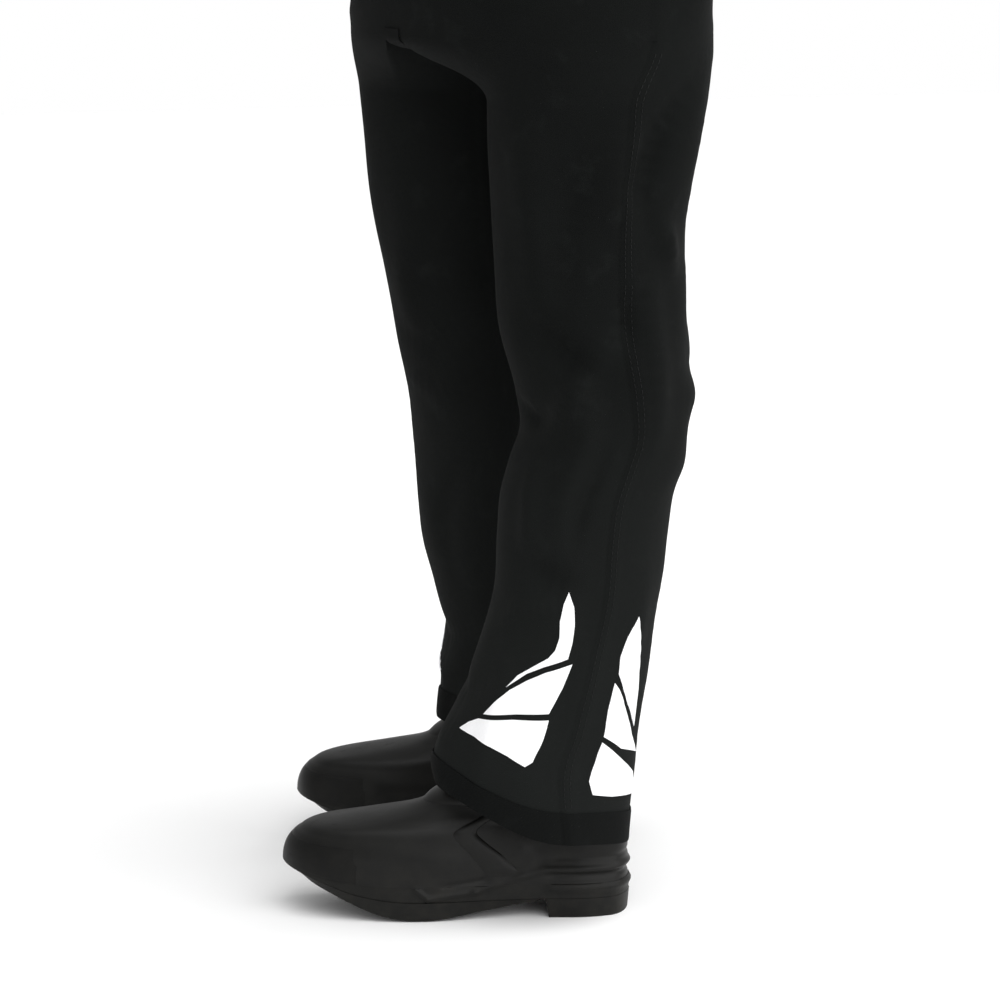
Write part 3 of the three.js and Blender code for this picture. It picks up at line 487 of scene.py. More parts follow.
def rubber(name, colour, rough, specular, dust, grain=900):
    """Moulded rubber: a cloudy tone, fine specks, long scuffs, and dust towards the floor."""
    s = Shader(name, colour, rough, specular=specular)
    cloud = s.ramp(s.spots(14, 5, 0.6), 0.3, 0.72)
    speck = s.ramp(s.spots(420, 4, 0.7), 0.58, 0.74)
    scuff = s.ramp(s.streaks((1, 0.25, 3), 70, Detail=6, Roughness=0.65), 0.6, 0.78)
    shade = s.mix(cloud, tinted(colour, 0.82), tinted(colour, 1.2))
    shade = s.over(shade, speck, 0.3, tinted(colour, 1.9))
    dusty = s.math("MULTIPLY", s.near_floor(0.09, 0.0, 1.0), s.ramp(s.spots(55, 6, 0.65), 0.42, 0.75))
    dusty = s.math("MULTIPLY", dusty, dust)
    shade = s.mix(dusty, shade, DUST)
    roughness = s.math("MULTIPLY", s.math("MAXIMUM", scuff, dusty), 0.2)
    roughness = s.math("ADD", s.between(cloud, rough - 0.06, rough + 0.07), roughness)
    normal = s.bump(s.spots(60, 5, 0.55), 0.2, 0.0010)
    normal = s.bump(s.spots(grain, 3, 0.6), 0.22, 0.00025, normal)
    normal = s.bump(scuff, 0.12, 0.0002, normal)
    return s.finish(shade, roughness, normal)


def quilted(name, colour):
    """Quilted liner: diamonds sewn in rows over a soft napped face."""
    s = Shader(name, colour, 0.93, specular=0.1, sheen=0.15)
    rows = s.lattice(0.055)
    sewn = s.ramp(rows, 0.975, 0.998)
    puff = s.math("SUBTRACT", 1.0, s.math("POWER", rows, 6.0))
    soil = s.ramp(s.spots(12, 5, 0.6), 0.35, 0.75)
    shade = s.mix(soil, tinted(colour, 0.8), tinted(colour, 1.08))
    shade = s.over(shade, sewn, 0.7, tinted(colour, 0.42))
    normal = s.bump(puff, 0.8, 0.004)
    return s.finish(shade, None, s.bump(s.spots(1900, 3), 0.3, 0.0004, normal))


def ribbed(name, colour):
    """Woven webbing: ribs across the strip and finer ends along it."""
    pitch, rough = 0.0016, 0.8
    s = Shader(name, colour, rough, specular=0.12)
    uv = s.metres()
    ribs = s.wave(uv, WAVE / pitch, "X", 0.8)
    ends = s.wave(uv, WAVE / pitch / 0.6, "Y", 0.5)
    weave = s.math("ADD", ribs, s.math("MULTIPLY", ends, 0.5))
    dye = s.ramp(s.spots(26, 5, 0.6), 0.35, 0.7)
    shade = s.mix(dye, tinted(colour, 0.75), tinted(colour, 1.3))
    shade = s.over(shade, s.ramp(weave, 0.9, 1.4), 0.4, tinted(colour, 1.9))
    return s.finish(shade, s.between(dye, rough - 0.08, rough + 0.08), s.bump(weave, 0.6, 0.0005))


def beaded(name):
    """Retroreflective trim: fine glass beads under a clear face, with a faint lattice and a little soiling."""
    s = Shader(name, (0.9, 0.9, 0.9), 0.38, specular=0.4)
    beads = s.n("TexVoronoi", {"Vector": s.metres(), "Scale": 900}, feature="F1")
    lines = s.ramp(s.lattice(0.004), 0.93, 0.99)
    soil = s.ramp(s.spots(45, 6, 0.62), 0.5, 0.85)
    shade = s.over((0.93, 0.93, 0.94), lines, 0.1, (0.72, 0.73, 0.75))
    shade = s.over(shade, soil, 0.12, (0.6, 0.6, 0.58))
    normal = s.bump(beads, 0.12, 0.0002)
    return s.finish(shade, s.between(soil, 0.32, 0.5), s.bump(lines, 0.15, 0.0002, normal))


def metal(name, colour, rough):
    """Worn plated metal: fine draw lines and dull patches."""
    s = Shader(name, colour, rough, metal=1.0, specular=0.5)
    cloud = s.ramp(s.spots(120, 5, 0.6), 0.35, 0.7)
    dull = s.ramp(s.spots(600, 5, 0.65), 0.55, 0.75)
    shade = s.mix(cloud, tinted(colour, 0.8), tinted(colour, 1.1))
    shade = s.over(shade, dull, 0.45, tinted(colour, 0.45))
    roughness = s.math("ADD", s.math("MULTIPLY", dull, 0.22), rough)
    return s.finish(shade, roughness, s.bump(s.streaks((1, 1, 14), 900, Detail=3), 0.12, 0.0002))


def plastic(name, colour, rough):
    """Moulded plastic: a fine grain with small nicks."""
    s = Shader(name, colour, rough, specular=0.4)
    cloud = s.ramp(s.spots(80, 4, 0.6), 0.35, 0.7)
    nicks = s.ramp(s.spots(500, 5, 0.7), 0.62, 0.76)
    shade = s.mix(cloud, tinted(colour, 0.85), tinted(colour, 1.2))
    shade = s.over(shade, nicks, 0.5, tinted(colour, 2.6))
    return s.finish(shade, s.between(nicks, rough, rough + 0.25), s.bump(s.spots(2200, 2), 0.3, 0.0002))


CLOTH = (0.0060, 0.0067, 0.0064)
# The shell cloth carries painted light that makes it lighter from the knee down.
shell_cloth = cloth("shell_twill", CLOTH, painted_low_light=0.55)
strong_cloth = cloth("reinforcement_twill", (0.0056, 0.0061, 0.0059), pitch=0.0016, strength=0.45)
thread = cloth("sewing_thread", (0.0095, 0.0102, 0.0100), pitch=0.0005, rough=0.7, specular=0.2)
lining = quilted("quilted_lining", (0.42, 0.27, 0.075))
web = ribbed("webbing_weave", (0.0075, 0.0075, 0.0075))
trim = beaded("reflective_beads")
boot_skin = rubber("boot_rubber_satin", (0.0058, 0.0058, 0.0053), 0.42, 0.18, dust=0.12)
bumper_skin = rubber("bumper_rubber", (0.0048, 0.0048, 0.0044), 0.45, 0.15, dust=0.1)
sole_skin = rubber("sole_rubber_matt", (0.0062, 0.0062, 0.0055), 0.46, 0.17, dust=0.15, grain=700)
felt = cloth("insole_felt_nap", (0.16, 0.15, 0.13), pitch=0.002, rough=0.95, strength=0.2)
nickel = metal("worn_nickel", (0.56, 0.55, 0.52), 0.3)
black_plastic = plastic("moulded_black", (0.016, 0.016, 0.017), 0.42)

# ---------- Camera, light, floor ----------
CAMERA_FAR, CAMERA_HIGH = 3420, 1000
camera = add("camera", bpy.data.cameras.new("camera"))
bpy.context.scene.camera = camera
camera.data.sensor_width, camera.data.lens = 36, 133.2
turn, pitch = math.radians(74), math.radians(10.58)
camera.location = place((CAMERA_FAR * math.sin(turn), -CAMERA_FAR * math.cos(turn), CAMERA_HIGH)).tolist()
camera.rotation_euler = (math.pi / 2 - pitch, 0, turn)

view = bpy.context.scene.view_settings
view.view_transform, view.look, view.exposure, view.gamma = "Standard", "None", 0, 1

world = bpy.data.worlds.new("studio")
bpy.context.scene.world = world
world.use_nodes = True
wt = world.node_tree
wt.nodes.clear()
seen, lit = wt.nodes.new("ShaderNodeBackground"), wt.nodes.new("ShaderNodeBackground")
seen.inputs["Color"].default_value = lit.inputs["Color"].default_value = (1, 1, 1, 1)
seen.inputs["Strength"].default_value, lit.inputs["Strength"].default_value = 1.0, 0.5
path, both = wt.nodes.new("ShaderNodeLightPath"), wt.nodes.new("ShaderNodeMixShader")
wt.links.new(path.outputs["Is Camera Ray"], both.inputs[0])
wt.links.new(lit.outputs[0], both.inputs[1])
wt.links.new(seen.outputs[0], both.inputs[2])
wt.links.new(both.outputs[0], wt.nodes.new("ShaderNodeOutputWorld").inputs[0])


def point(obj, direction):
    obj.rotation_mode = "QUATERNION"
    obj.rotation_quaternion = Vector(direction).to_track_quat("-Z", "Y")


def lamp(name, where, aim, size, power):
    data = bpy.data.lights.new(name, "AREA")
    data.shape, data.size, data.size_y, data.energy = "RECTANGLE", size, size, power
    obj = add(name, data)
    obj.location = where
    point(obj, Vector(aim) - Vector(where))


lamp("overhead_softbox", (0.4, -0.5, 3.4), (0, 0, 0.4), 2.6, 20)
lamp("back_softbox", (-2.4, 2.4, 1.9), (0, 0, 0.5), 2.0, 22)
sun = add("wide_sun", bpy.data.lights.new("wide_sun", "SUN"))
sun.data.energy, sun.data.angle = 3.0, math.radians(90)
point(sun, (-0.7, -0.5, -0.8))

floor_mesh = bpy.data.meshes.new("floor")
floor_mesh.from_pydata([(-9, -9, 0), (9, -9, 0), (9, 9, 0), (-9, 9, 0)], [], [(0, 1, 2, 3)])
floor = add("floor", floor_mesh)
pale = Shader("pale_floor", (0.93, 0.93, 0.93), 0.9, specular=0.1, placed=False)
clouds = pale.ramp(pale.spots(1.5), 0.3, 0.7)
floor_mesh.materials.append(pale.finish(pale.mix(clouds, (0.92, 0.92, 0.92), (0.94, 0.94, 0.94))))

# ---------- Legs ----------
AROUND = np.linspace(0, 2 * math.pi, 180, endpoint=False)
LINER_AROUND = AROUND[::2]
LINER_SHORT = 24  # how far the liner stops above the hem
THREADS = (3.2, 8.6)  # the two rows of stitches, behind the outseam's edge
THREAD, DASH, PITCH = 0.32, 3.4, 5.2  # the thread's radius, and a stitch's length and spacing


def rows_down(top, low, step=4.0):
    """Level heights about a step apart."""
    return np.linspace(top, low, int(round((top - low) / step)) + 1)


def between_lines(top, low, count):
    """A grid of heights from one line to another. Each is one height, or one for each column."""
    share = np.linspace(0, 1, count)[:, None]
    return top * (1 - share) + low * share


def outseam_offset(a):
    """The felled outseam stands a little proud, with a crease along its front edge."""
    run = ((a + math.pi) % (2 * math.pi) - math.pi) * ROUND
    return 1.1 * smooth(run, 0.0, 1.2) * smooth(run, 15, 11) - 1.0 * np.exp(-((run + 1) / 1.6) ** 2)


def leg_skin(side, a, z, off):
    """Places on a leg with its two seams. The inseam fades out at the fork."""
    inseam = outseam_offset(np.asarray(a) - math.pi) * smooth(np.asarray(z, float), 805, 780)
    return leg(side, a, z, off + outseam_offset(a) + inseam)


def tubes(starts, rings, sides):
    """Side faces of the tubes that begin at the given points, each of a number of rings."""
    faces = []
    for start in starts:
        for base in range(start, start + sides * (rings - 1), sides):
            faces += [(base + i, base + (i + 1) % sides, base + sides + (i + 1) % sides, base + sides + i)
                      for i in range(sides)]
    return faces


def stitches(name, side, top, low, bend):
    """Thread dashes along the outseam."""
    tops = np.arange(top - 3, low + 4, -PITCH)
    z = np.repeat((tops[:, None] + np.linspace(0, -DASH, 4))[None], len(THREADS), 0).reshape(-1, 4)
    a = np.repeat(np.array(THREADS) / ROUND, len(tops))[:, None] + 0 * z
    line = leg_skin(side, a, z, np.array([-0.1, 0.35, 0.35, -0.1]) + 0 * z)
    out = leg_skin(side, a, z, 5 + 0 * z) - line
    out /= np.linalg.norm(out, axis=2)[..., None]
    across = np.cross(out, (line[:, 3:] - line[:, :1]))
    across /= np.linalg.norm(across, axis=2)[..., None]
    turns = np.linspace(0, 2 * math.pi, 6, endpoint=False)
    points = (line[:, :, None] + across[:, :, None] * (THREAD * np.cos(turns))[:, None]
              + out[:, :, None] * (THREAD * np.sin(turns))[:, None]).reshape(-1, 3)
    faces = []
    for start in range(0, len(points), 24):
        faces += tubes([start], 4, 6)
        faces += [tuple(range(start + 5, start - 1, -1)), tuple(range(start + 18, start + 24))]
    make(name, points, faces, None, thread, slot="webbing", blend=bend)


for side in SIDES:
    hip_bend = ("seat", f"{side}_thigh", CROTCH - 4, SPLIT + 8)
    knee_bend = (f"{side}_thigh", f"{side}_shin", KNEE_TOP, KNEE_LOW)
    skin, inside = partial(leg_skin, side), partial(leg, side)
    shell = {"material": shell_cloth, "slot": "outer_shell_cloth", "body": None, "ring": True}
    liner = {"material": lining, "slot": "quilted_liner", "body": None, "ring": True}
    piece = sheet(f"{side}_leg_upper", skin, AROUND, rows_down(CROTCH, SPLIT), 0, -SHELL, blend=hip_bend, **shell,
                  replaces=(f"{side}_hip_panel", f"{side}_thigh_front_panel", f"{side}_thigh_rear_panel"))
    edge = hem(side, AROUND)
    piece = sheet(f"{side}_leg_lower", skin, AROUND, between_lines(SPLIT, edge, 118), 0, -SHELL, blend=knee_bend,
                  **shell, replaces=(f"{side}_knee_panel", f"{side}_shin_front_panel", f"{side}_shin_rear_panel"))
    # The quilted liner hangs inside the shell, in two lengths like it.
    piece = sheet(f"{side}_liner_upper", inside, LINER_AROUND, rows_down(CROTCH - 2, SPLIT, 12), LINER_OUT, LINER_IN,
                  blend=hip_bend, **liner, replaces=(f"{side}_thigh_liner",))
    heights = between_lines(SPLIT, hem(side, LINER_AROUND) + LINER_SHORT, 44)
    piece = sheet(f"{side}_liner_lower", inside, LINER_AROUND, heights, LINER_OUT, LINER_IN, blend=knee_bend, **liner,
                  replaces=(f"{side}_shin_liner",))
    # Cuff band, folded round the hem.
    piece = sheet(f"{side}_cuff_band_cloth", skin, AROUND, between_lines(edge + CUFF, edge - 1.5, 10), 1.7, 0.35,
                  f"{side}_shin", strong_cloth, ring=True, roll=0.5, slot="reinforcement_cloth",
                  replaces=(f"{side}_cuff_band",))
    stitches(f"{side}_outseam_thread_lower", side, SPLIT, hem(side, 0) + CUFF + 2, knee_bend)
    stitches(f"{side}_outseam_thread_upper", side, CROTCH - 8, SPLIT, hip_bend)

# ---------- Reflective trim ----------
# Outlines of the shards, each as (angle in degrees round the leg, height).
SHARDS = {
    "front": [
        [(-25.5, 311), (-20.5, 298), (-17.5, 281), (-16, 265), (-16, 251), (-30, 244), (-40, 237), (-50, 224),
         (-45.5, 235), (-37, 244), (-29, 252), (-26, 259), (-25.5, 270), (-28, 285), (-27.5, 301)],
        [(-12, 246), (-14, 225), (-18, 202), (-38, 201), (-59, 198), (-52.5, 212), (-47, 222), (-38.5, 231),
         (-28, 239)],
        [(-76, 181), (-70, 188), (-62.5, 193), (-39, 196), (-17, 196), (-17, 183), (-17, 171), (-17.5, 159),
         (-21, 155), (-33, 164), (-45, 171), (-59.5, 177)],
    ],
    "rear": [
        [(27, 286), (35.5, 255), (45, 216), (48, 180), (31, 209), (21, 235), (19.5, 251), (21.5, 268)],
        [(19.5, 227), (24, 220), (33, 198), (47, 173), (62, 152), (37, 163), (20, 178), (19, 201)],
        [(20, 173), (34.5, 158), (60, 134), (66, 122), (64, 112), (35, 119), (19.5, 125), (17, 138), (19, 155)],
    ],
}
SHARD_MOVE = {("right", "front"): (-13, -10)}  # the far leg's front trim reaches round the shin, in degrees and mm
EDGE_STEP, GRID_STEP = 2.5, 4.0  # spacing of a shard's points along its edge and over its face
SHARD_EDGE, SHARD_FACE, SHARD_UNDER = 0.75, 1.25, 0.2  # its heights over the cloth


def from_ring(ring, x, y):
    """The distance to the nearest point of a ring."""
    return np.min(np.hypot(ring[:, 0] - x, ring[:, 1] - y))


def shard(outline, side, move):
    """A thin bevelled plate over an outline, laid on the leg. Returns points, faces and places for the weave."""
    ends = [(math.radians(a + move[0]) * ROUND, z + move[1]) for a, z in outline]
    edge = []
    for (x0, y0), (x1, y1) in zip(ends, ends[1:] + ends[:1]):
        n = max(1, int(math.hypot(x1 - x0, y1 - y0) / EDGE_STEP))
        edge += [(x0 + (x1 - x0) * k / n, y0 + (y1 - y0) * k / n) for k in range(n)]
    ring = np.array(edge)
    inner = []
    for x in np.arange(ring[:, 0].min(), ring[:, 0].max(), GRID_STEP):
        for y in np.arange(ring[:, 1].min(), ring[:, 1].max(), GRID_STEP):
            crossings = [(y0 > y) != (y1 > y) and x < (x1 - x0) * (y - y0) / (y1 - y0) + x0
                         for (x0, y0), (x1, y1) in zip(ring, np.roll(ring, -1, 0))]
            if sum(crossings) % 2 and from_ring(ring, x, y) > GRID_STEP * 0.6:
                inner.append((x, y))
    flat = [Vector(p) for p in list(map(tuple, ring)) + inner]
    n = len(ring)
    edges = [(i, (i + 1) % n) for i in range(n)]
    verts, _, tris, _, _, _ = delaunay_2d_cdt(flat, edges, [tuple(range(n))], 1, 1e-5)
    flat = np.array([(v.x, v.y) for v in verts])
    count = len(flat)
    border = np.array([from_ring(ring, x, y) < 0.05 for x, y in flat])
    a, z = flat[:, 0] / ROUND, flat[:, 1]
    top = leg_skin(side, a, z, np.where(border, SHARD_EDGE, SHARD_FACE))
    under = leg_skin(side, a, z, np.full(count, SHARD_UNDER))
    faces = [tuple(f) for f in tris] + [tuple(count + i for i in reversed(f)) for f in tris]
    ways = dict.fromkeys((f[i], f[(i + 1) % len(f)]) for f in tris for i in range(len(f)))
    faces += [(j, i, count + i, count + j) for i, j in ways if (j, i) not in ways]
    return np.concatenate([top, under]), faces, np.concatenate([flat, flat]) / 1000


for side in SIDES:
    for where, outlines in SHARDS.items():
        points, faces, uv = [], [], []
        for outline in outlines:
            p, f, m = shard(outline, side, SHARD_MOVE.get((side, where), (0, 0)))
            start = sum(len(x) for x in points)
            points.append(p)
            uv.append(m)
            faces += [tuple(i + start for i in face) for face in f]
        piece = make(f"{side}_{where}_trim_shards", np.concatenate(points), faces, f"{side}_shin", trim,
                     uv=np.concatenate(uv), slot="reflective_trim", replaces=(f"{side}_{where}_trim",))

# ---------- Boots ----------
BOOT_ACROSS, BOOT_BACK = 122, {"left": 13, "right": 83}
BOOT_LONG, HEEL = 322, 75
TOE = HEEL - BOOT_LONG
TOE_TURN = {"left": math.radians(-15), "right": math.radians(15)}
SHAFT_TOP, SHAFT_WIDE, SHAFT_DEEP = 330, 54, 60
TOE_Y = [-260, -247, -232, -216, -200, -187, -165, -150, -130, -110]
FOOT_TOP, SHAFT_LOW = 135.0, 240.0  # between these heights the foot turns into the shaft
SHAFT_Z = [-h for h in LEG_Z[::-1]]
SHAFT_REST = np.interp(-SHAFT_TOP, SHAFT_Z, [102, 92, 86, 82, 78, 83, 90]) - 6.8 - SHAFT_DEEP
SHAFT_BACK = {"left": [60, 56, 55, 64, 46, 22, -4], "right": [-6, 6, 14, 27, 38, 58, 68]}
FOOTPRINT = [(0, HEEL), (30, 64), (41, 36), (42, -5), (47, -55), (55, -112), (54, -165), (43, -210), (20, TOE + 9),
             (-6, TOE), (-34, TOE + 12), (-50, -196), (-54, -150), (-50, -105), (-38, -50), (-35, -5), (-38, 36),
             (-28, 64)]
BOOT_ROWS = np.array([
    [32.4, TOE + 1, 72, 53.4, 0], [46, TOE + 2, 72, 52.5, 0], [60, TOE + 6, 72, 51, 0], [73, TOE + 14, 71, 49, 0],
    [83, TOE + 33, 70, 46, 0], [89, TOE + 69, 67, 42, 0.1], [95, TOE + 105, 65, 40, 0.3],
    [112, TOE + 143, 63, 41, 0.6], [135, TOE + 171, 61, 43, 0.9]])
RING = 144


def closed_outline(points, count):
    """Points evenly spaced along a smooth closed line."""
    p = np.array(points, float)
    n = len(p)
    step = np.sqrt(np.linalg.norm(np.roll(p, -1, 0) - p, axis=1))
    slope = np.zeros_like(p)
    for i in range(n):
        before, after = step[i - 1], step[i]
        slope[i] = ((p[i] - p[i - 1]) / before * after + (p[(i + 1) % n] - p[i]) / after * before) / (before + after)
    loop = [hermite(t, step[i], p[i], slope[i], p[(i + 1) % n], slope[(i + 1) % n])
            for i in range(n) for t in np.arange(24) / 24]
    loop = np.array(loop + loop[:1])
    run = np.concatenate([[0], np.cumsum(np.linalg.norm(np.diff(loop, axis=0), axis=1))])
    spots = np.arange(count) / count * run[-1]
    return np.stack([np.interp(spots, run, loop[:, k]) for k in (0, 1)], -1)


OUTLINE = closed_outline(FOOTPRINT, RING)
HALF_WIDE = np.abs(OUTLINE[:, 0]).max()


def foot_at(at):
    """Places on the footprint, in steps of its ring."""
    loop = np.vstack([OUTLINE, OUTLINE[:1]])
    return np.stack([np.interp(at, np.arange(RING + 1), loop[:, k]) for k in (0, 1)], -1)


def outward(line, reach=1):
    """The unit normals of a closed flat line, pointing out. Each is across the points reach steps either side."""
    step = np.roll(line, -reach, 0) - np.roll(line, reach, 0)
    out = np.stack([-step[:, 1], step[:, 0]], -1)
    out /= np.linalg.norm(out, axis=1)[:, None]
    return out * np.sign((out * (line - line.mean(0))).sum(1).mean())


def toe_rise(y):
    return curve(y, TOE_Y, [13, 13, 11, 8, 5.5, 3.5, 1.2, 0.4, 0, 0])


def boot_strokes(x, y, z):
    """How far the moulded ribs, grooves and folds stand out of the boot's side."""
    total = np.zeros(np.broadcast(x, y, z).shape)
    back = smooth(y, -9, 3)
    for height, size, wide in ((46, 2.5, 3.0), (39.5, -1.6, 2.4), (28, 2.3, 3.6), (56, -1.2, 2.4)):
        total = total + size * back * np.exp(-((z - height) / wide) ** 2)
    for (y0, z0), (y1, z1), size, wide in (
            ((-124, 31), (-113, 22), 2.0, 2.4), ((-113, 22), (-70, 27), 1.9, 2.6), ((-70, 27), (-28, 40), 1.9, 3.0),
            ((-28, 40), (-4, 46), 1.9, 3.2), ((-98, 33), (-62, 37), -1.4, 2.6), ((-62, 37), (-34, 48), -1.4, 3.0),
            ((-7, 72), (-10, 52), -1.5, 2.0), ((-36, 98), (-26, 66), 2.2, 6.0), ((-22, 92), (-16, 66), -1.6, 4.0),
            ((-170, 60), (-90, 56), 1.4, 10.0)):
        t = np.clip(((y - y0) * (y1 - y0) + (z - z0) * (z1 - z0)) / ((y1 - y0) ** 2 + (z1 - z0) ** 2), 0, 1)
        near = (y - y0 - t * (y1 - y0)) ** 2 + (z - z0 - t * (z1 - z0)) ** 2
        total = total + size * np.exp(-near / wide ** 2)
    total = total + 0.5 * np.sin(y / 17 + z / 11) * np.sin(z / 14 - y / 29) * smooth(z, 60, 110)
    return total


def boot_ring(side, height, offset, above=0.0, share=None, moulded=False):
    """The boot's outline at a height. share picks places round it, from the heel by the outer side to the toe."""
    share = np.arange(RING) / RING if share is None else np.asarray(share, float)
    z = height + above
    read = [float(curve(z, BOOT_ROWS[:, 0], BOOT_ROWS[:, k])) for k in range(1, 5)]
    rise = min(max((z - FOOT_TOP) / (SHAFT_LOW - FOOT_TOP), 0), 1)
    shin = float(np.interp(-max(z, SHAFT_LOW), SHAFT_Z, SHAFT_BACK[side])) - BOOT_BACK[side] + SHAFT_REST
    front = read[0] + (shin - SHAFT_DEEP - read[0]) * rise - offset
    back = read[1] + (shin + SHAFT_DEEP - read[1]) * rise + offset
    wide = read[2] + (SHAFT_WIDE - read[2]) * rise + offset
    oval = read[3] + (1 - read[3]) * rise
    foot = foot_at((share % 1) * RING)
    turn = share * 2 * math.pi
    along = (foot[:, 1] - TOE) / BOOT_LONG
    x = (foot[:, 0] / HALF_WIDE * (1 - oval) + np.sin(turn) * oval) * wide
    y = front + (back - front) * (along * (1 - oval) + (1 + np.cos(turn)) / 2 * oval)
    p = np.stack([x, y, np.full(len(x), float(height))], -1)
    if moulded:
        p[:, :2] += outward(p[:, :2]) * boot_strokes(p[:, 0], p[:, 1], height)[:, None]
    p[:, 2] += toe_rise(p[:, 1]) * np.clip((86 - height) / 54, 0, 1)
    return boot_turned(side, p, 1 - rise)


def boot_place(side, p):
    """Puts a boot where its foot stands."""
    return np.stack([SIDES[side] * (p[..., 0] + BOOT_ACROSS), p[..., 1] + BOOT_BACK[side], p[..., 2]], -1)


def boot_turned(side, p, share=1.0):
    """Turns a share of the way towards where the toe points."""
    a = TOE_TURN[side] * share
    c, s = math.cos(a), math.sin(a)
    return np.stack([p[..., 0] * c - p[..., 1] * s, p[..., 0] * s + p[..., 1] * c, p[..., 2]], -1)


def loft(rings):
    """Points and faces of a solid skinned over rings, closed by a fan at each end."""
    n = len(rings[0])
    points = np.vstack(rings)
    faces = []
    for j in range(len(rings) - 1):
        for i in range(n):
            k = (i + 1) % n
            faces.append((j * n + i, j * n + k, (j + 1) * n + k, (j + 1) * n + i))
    for j in (0, len(rings) - 1):
        middle = len(points)
        points = np.vstack([points, rings[j].mean(0)])
        for i in range(n):
            a, b = j * n + i, j * n + (i + 1) % n
            faces.append((b, a, middle) if j == 0 else (a, b, middle))
    return points, faces


SOLE_IN, TREAD = 1.5, 3.0  # how far the outsole stands in from the footprint, and how deep its grooves are
HEEL_BREAST = [-2.1, -3.5, -4.9]


def outsole(side):
    """The sole with its heel and arch, made of strips across it. Returns points and faces."""
    heel, toe = OUTLINE[:, 1].argmax(), OUTLINE[:, 1].argmin()
    order = np.roll(OUTLINE, -heel, 0)
    cut = (toe - heel) % RING
    outer, inner = order[: cut + 1], np.vstack([order[cut:], order[:1]])
    t = (1 - np.cos(np.linspace(0.02, math.pi - 0.02, 110))) / 2
    length = BOOT_LONG - 2 * SOLE_IN
    ys = np.sort(np.concatenate([HEEL - SOLE_IN - t * length, HEEL_BREAST]))[::-1]
    core = np.clip((ys - (HEEL + TOE) / 2) * BOOT_LONG / length + (HEEL + TOE) / 2, TOE, HEEL)
    xr = np.interp(-core, -outer[:, 1], outer[:, 0]) - SOLE_IN
    xl = np.interp(core, inner[:, 1], inner[:, 0]) + SOLE_IN
    middle, half = (xr + xl) / 2, np.maximum((xr - xl) / 2, 0.01)
    s = np.linspace(0, 1, 14)
    x = xl[:, None] + (xr - xl)[:, None] * s
    y = np.repeat(ys[:, None], len(s), 1)
    top, low = outsole_top(y), outsole_low(y)
    lug = (np.sin(y / 13 * 2 * math.pi) > 0.1) | (np.abs(s - 0.5)[None] > 0.42)
    low = np.minimum(low + np.where(lug, 0, TREAD), np.maximum(top - 1.2, low))
    narrow = (1 - np.minimum(1.6 + 3.0 * smooth(-ys, 150, 240), half * 0.4) / half)[:, None]
    low_x = middle[:, None] + (x - middle[:, None]) * narrow
    low_y = y + 6 * smooth(-y, 215, 250) - 1.5 * smooth(y, 55, 75)
    points, faces = slab(np.stack([x, y, top], -1), np.stack([low_x, low_y, low], -1))
    return boot_turned(side, points), faces


def midsole(side):
    """The band between the upper and the outsole, flush with both and moulded with the same ribs."""
    foot = foot_at(np.arange(4 * RING) / 4)
    out = outward(foot, 2)
    wide = np.stack([foot[:, 0] / HALF_WIDE * 53.4, TOE + 1 + (foot[:, 1] - TOE) * (HEEL - 3 - TOE) / BOOT_LONG], -1)
    rings = []
    for t, inset in zip(np.linspace(0, 1, 12), [0.15, 0] + [0] * 9 + [0.1]):
        p = wide - inset * out
        low, top = outsole_top(p[:, 1]) + 0.05, midsole_top(p[:, 1])
        z = low + (top - low) * t
        level = z - toe_rise(p[:, 1])
        rings.append(np.column_stack([p + out * boot_strokes(p[:, 0], p[:, 1], level)[:, None], z]))
    points, faces = loft(rings)
    return boot_turned(side, points), faces


def midsole_top(y):
    return 32.3 + toe_rise(y)


def outsole_top(y):
    return curve(y, TOE_Y, [44.2, 44.2, 41, 36, 31.5, 27, 22, 19.8, 18.2, 18])


def outsole_low(y):
    arch = curve(y, [-125, -100, -70, -40, -14, -5, -2], [0, 2, 7, 12, 15.5, 16, 0])
    return arch + curve(y, TOE_Y, [43, 43, 38, 31, 24, 18, 9, 4.5, 1.2, 0])


GRIP = (0.1, 2.5)  # how far out the two layers stand that the strap is laid between
STACK_Z = np.linspace(36, 124, 45)


def on_boot(stack, z, share, lift):
    """Places on the boot's side at heights z and shares round it, lift mm out from it."""
    found = []
    row, col = np.interp(z, STACK_Z, np.arange(len(STACK_Z))), (share % 1) * RING
    r0, c0 = np.minimum(row.astype(int), len(STACK_Z) - 2), np.minimum(col.astype(int), RING - 1)
    u, v = (row - r0)[:, None], (col - c0)[:, None]
    for layer in stack:
        grid = np.concatenate([layer, layer[:, :1]], 1)
        found.append((grid[r0, c0] * (1 - u) + grid[r0 + 1, c0] * u) * (1 - v)
                     + (grid[r0, c0 + 1] * (1 - u) + grid[r0 + 1, c0 + 1] * u) * v)
    return found[0] + (found[1] - found[0]) * (np.asarray(lift)[:, None] - GRIP[0]) / 2.4


HANDLE = np.array([(-16, -10), (-16, 14), (-14.5, 22), (-10, 28), (-3, 30.5), (3, 30.5), (10, 28), (14.5, 22),
                   (16, 14), (16, -10)], float)  # a pull handle's loop, along the rim and up
HANDLE_CUT = ((-1.6, -3.6), (1.6, -3.6), (1.9, 0), (1.6, 3.6), (-1.6, 3.6), (-1.9, 0))


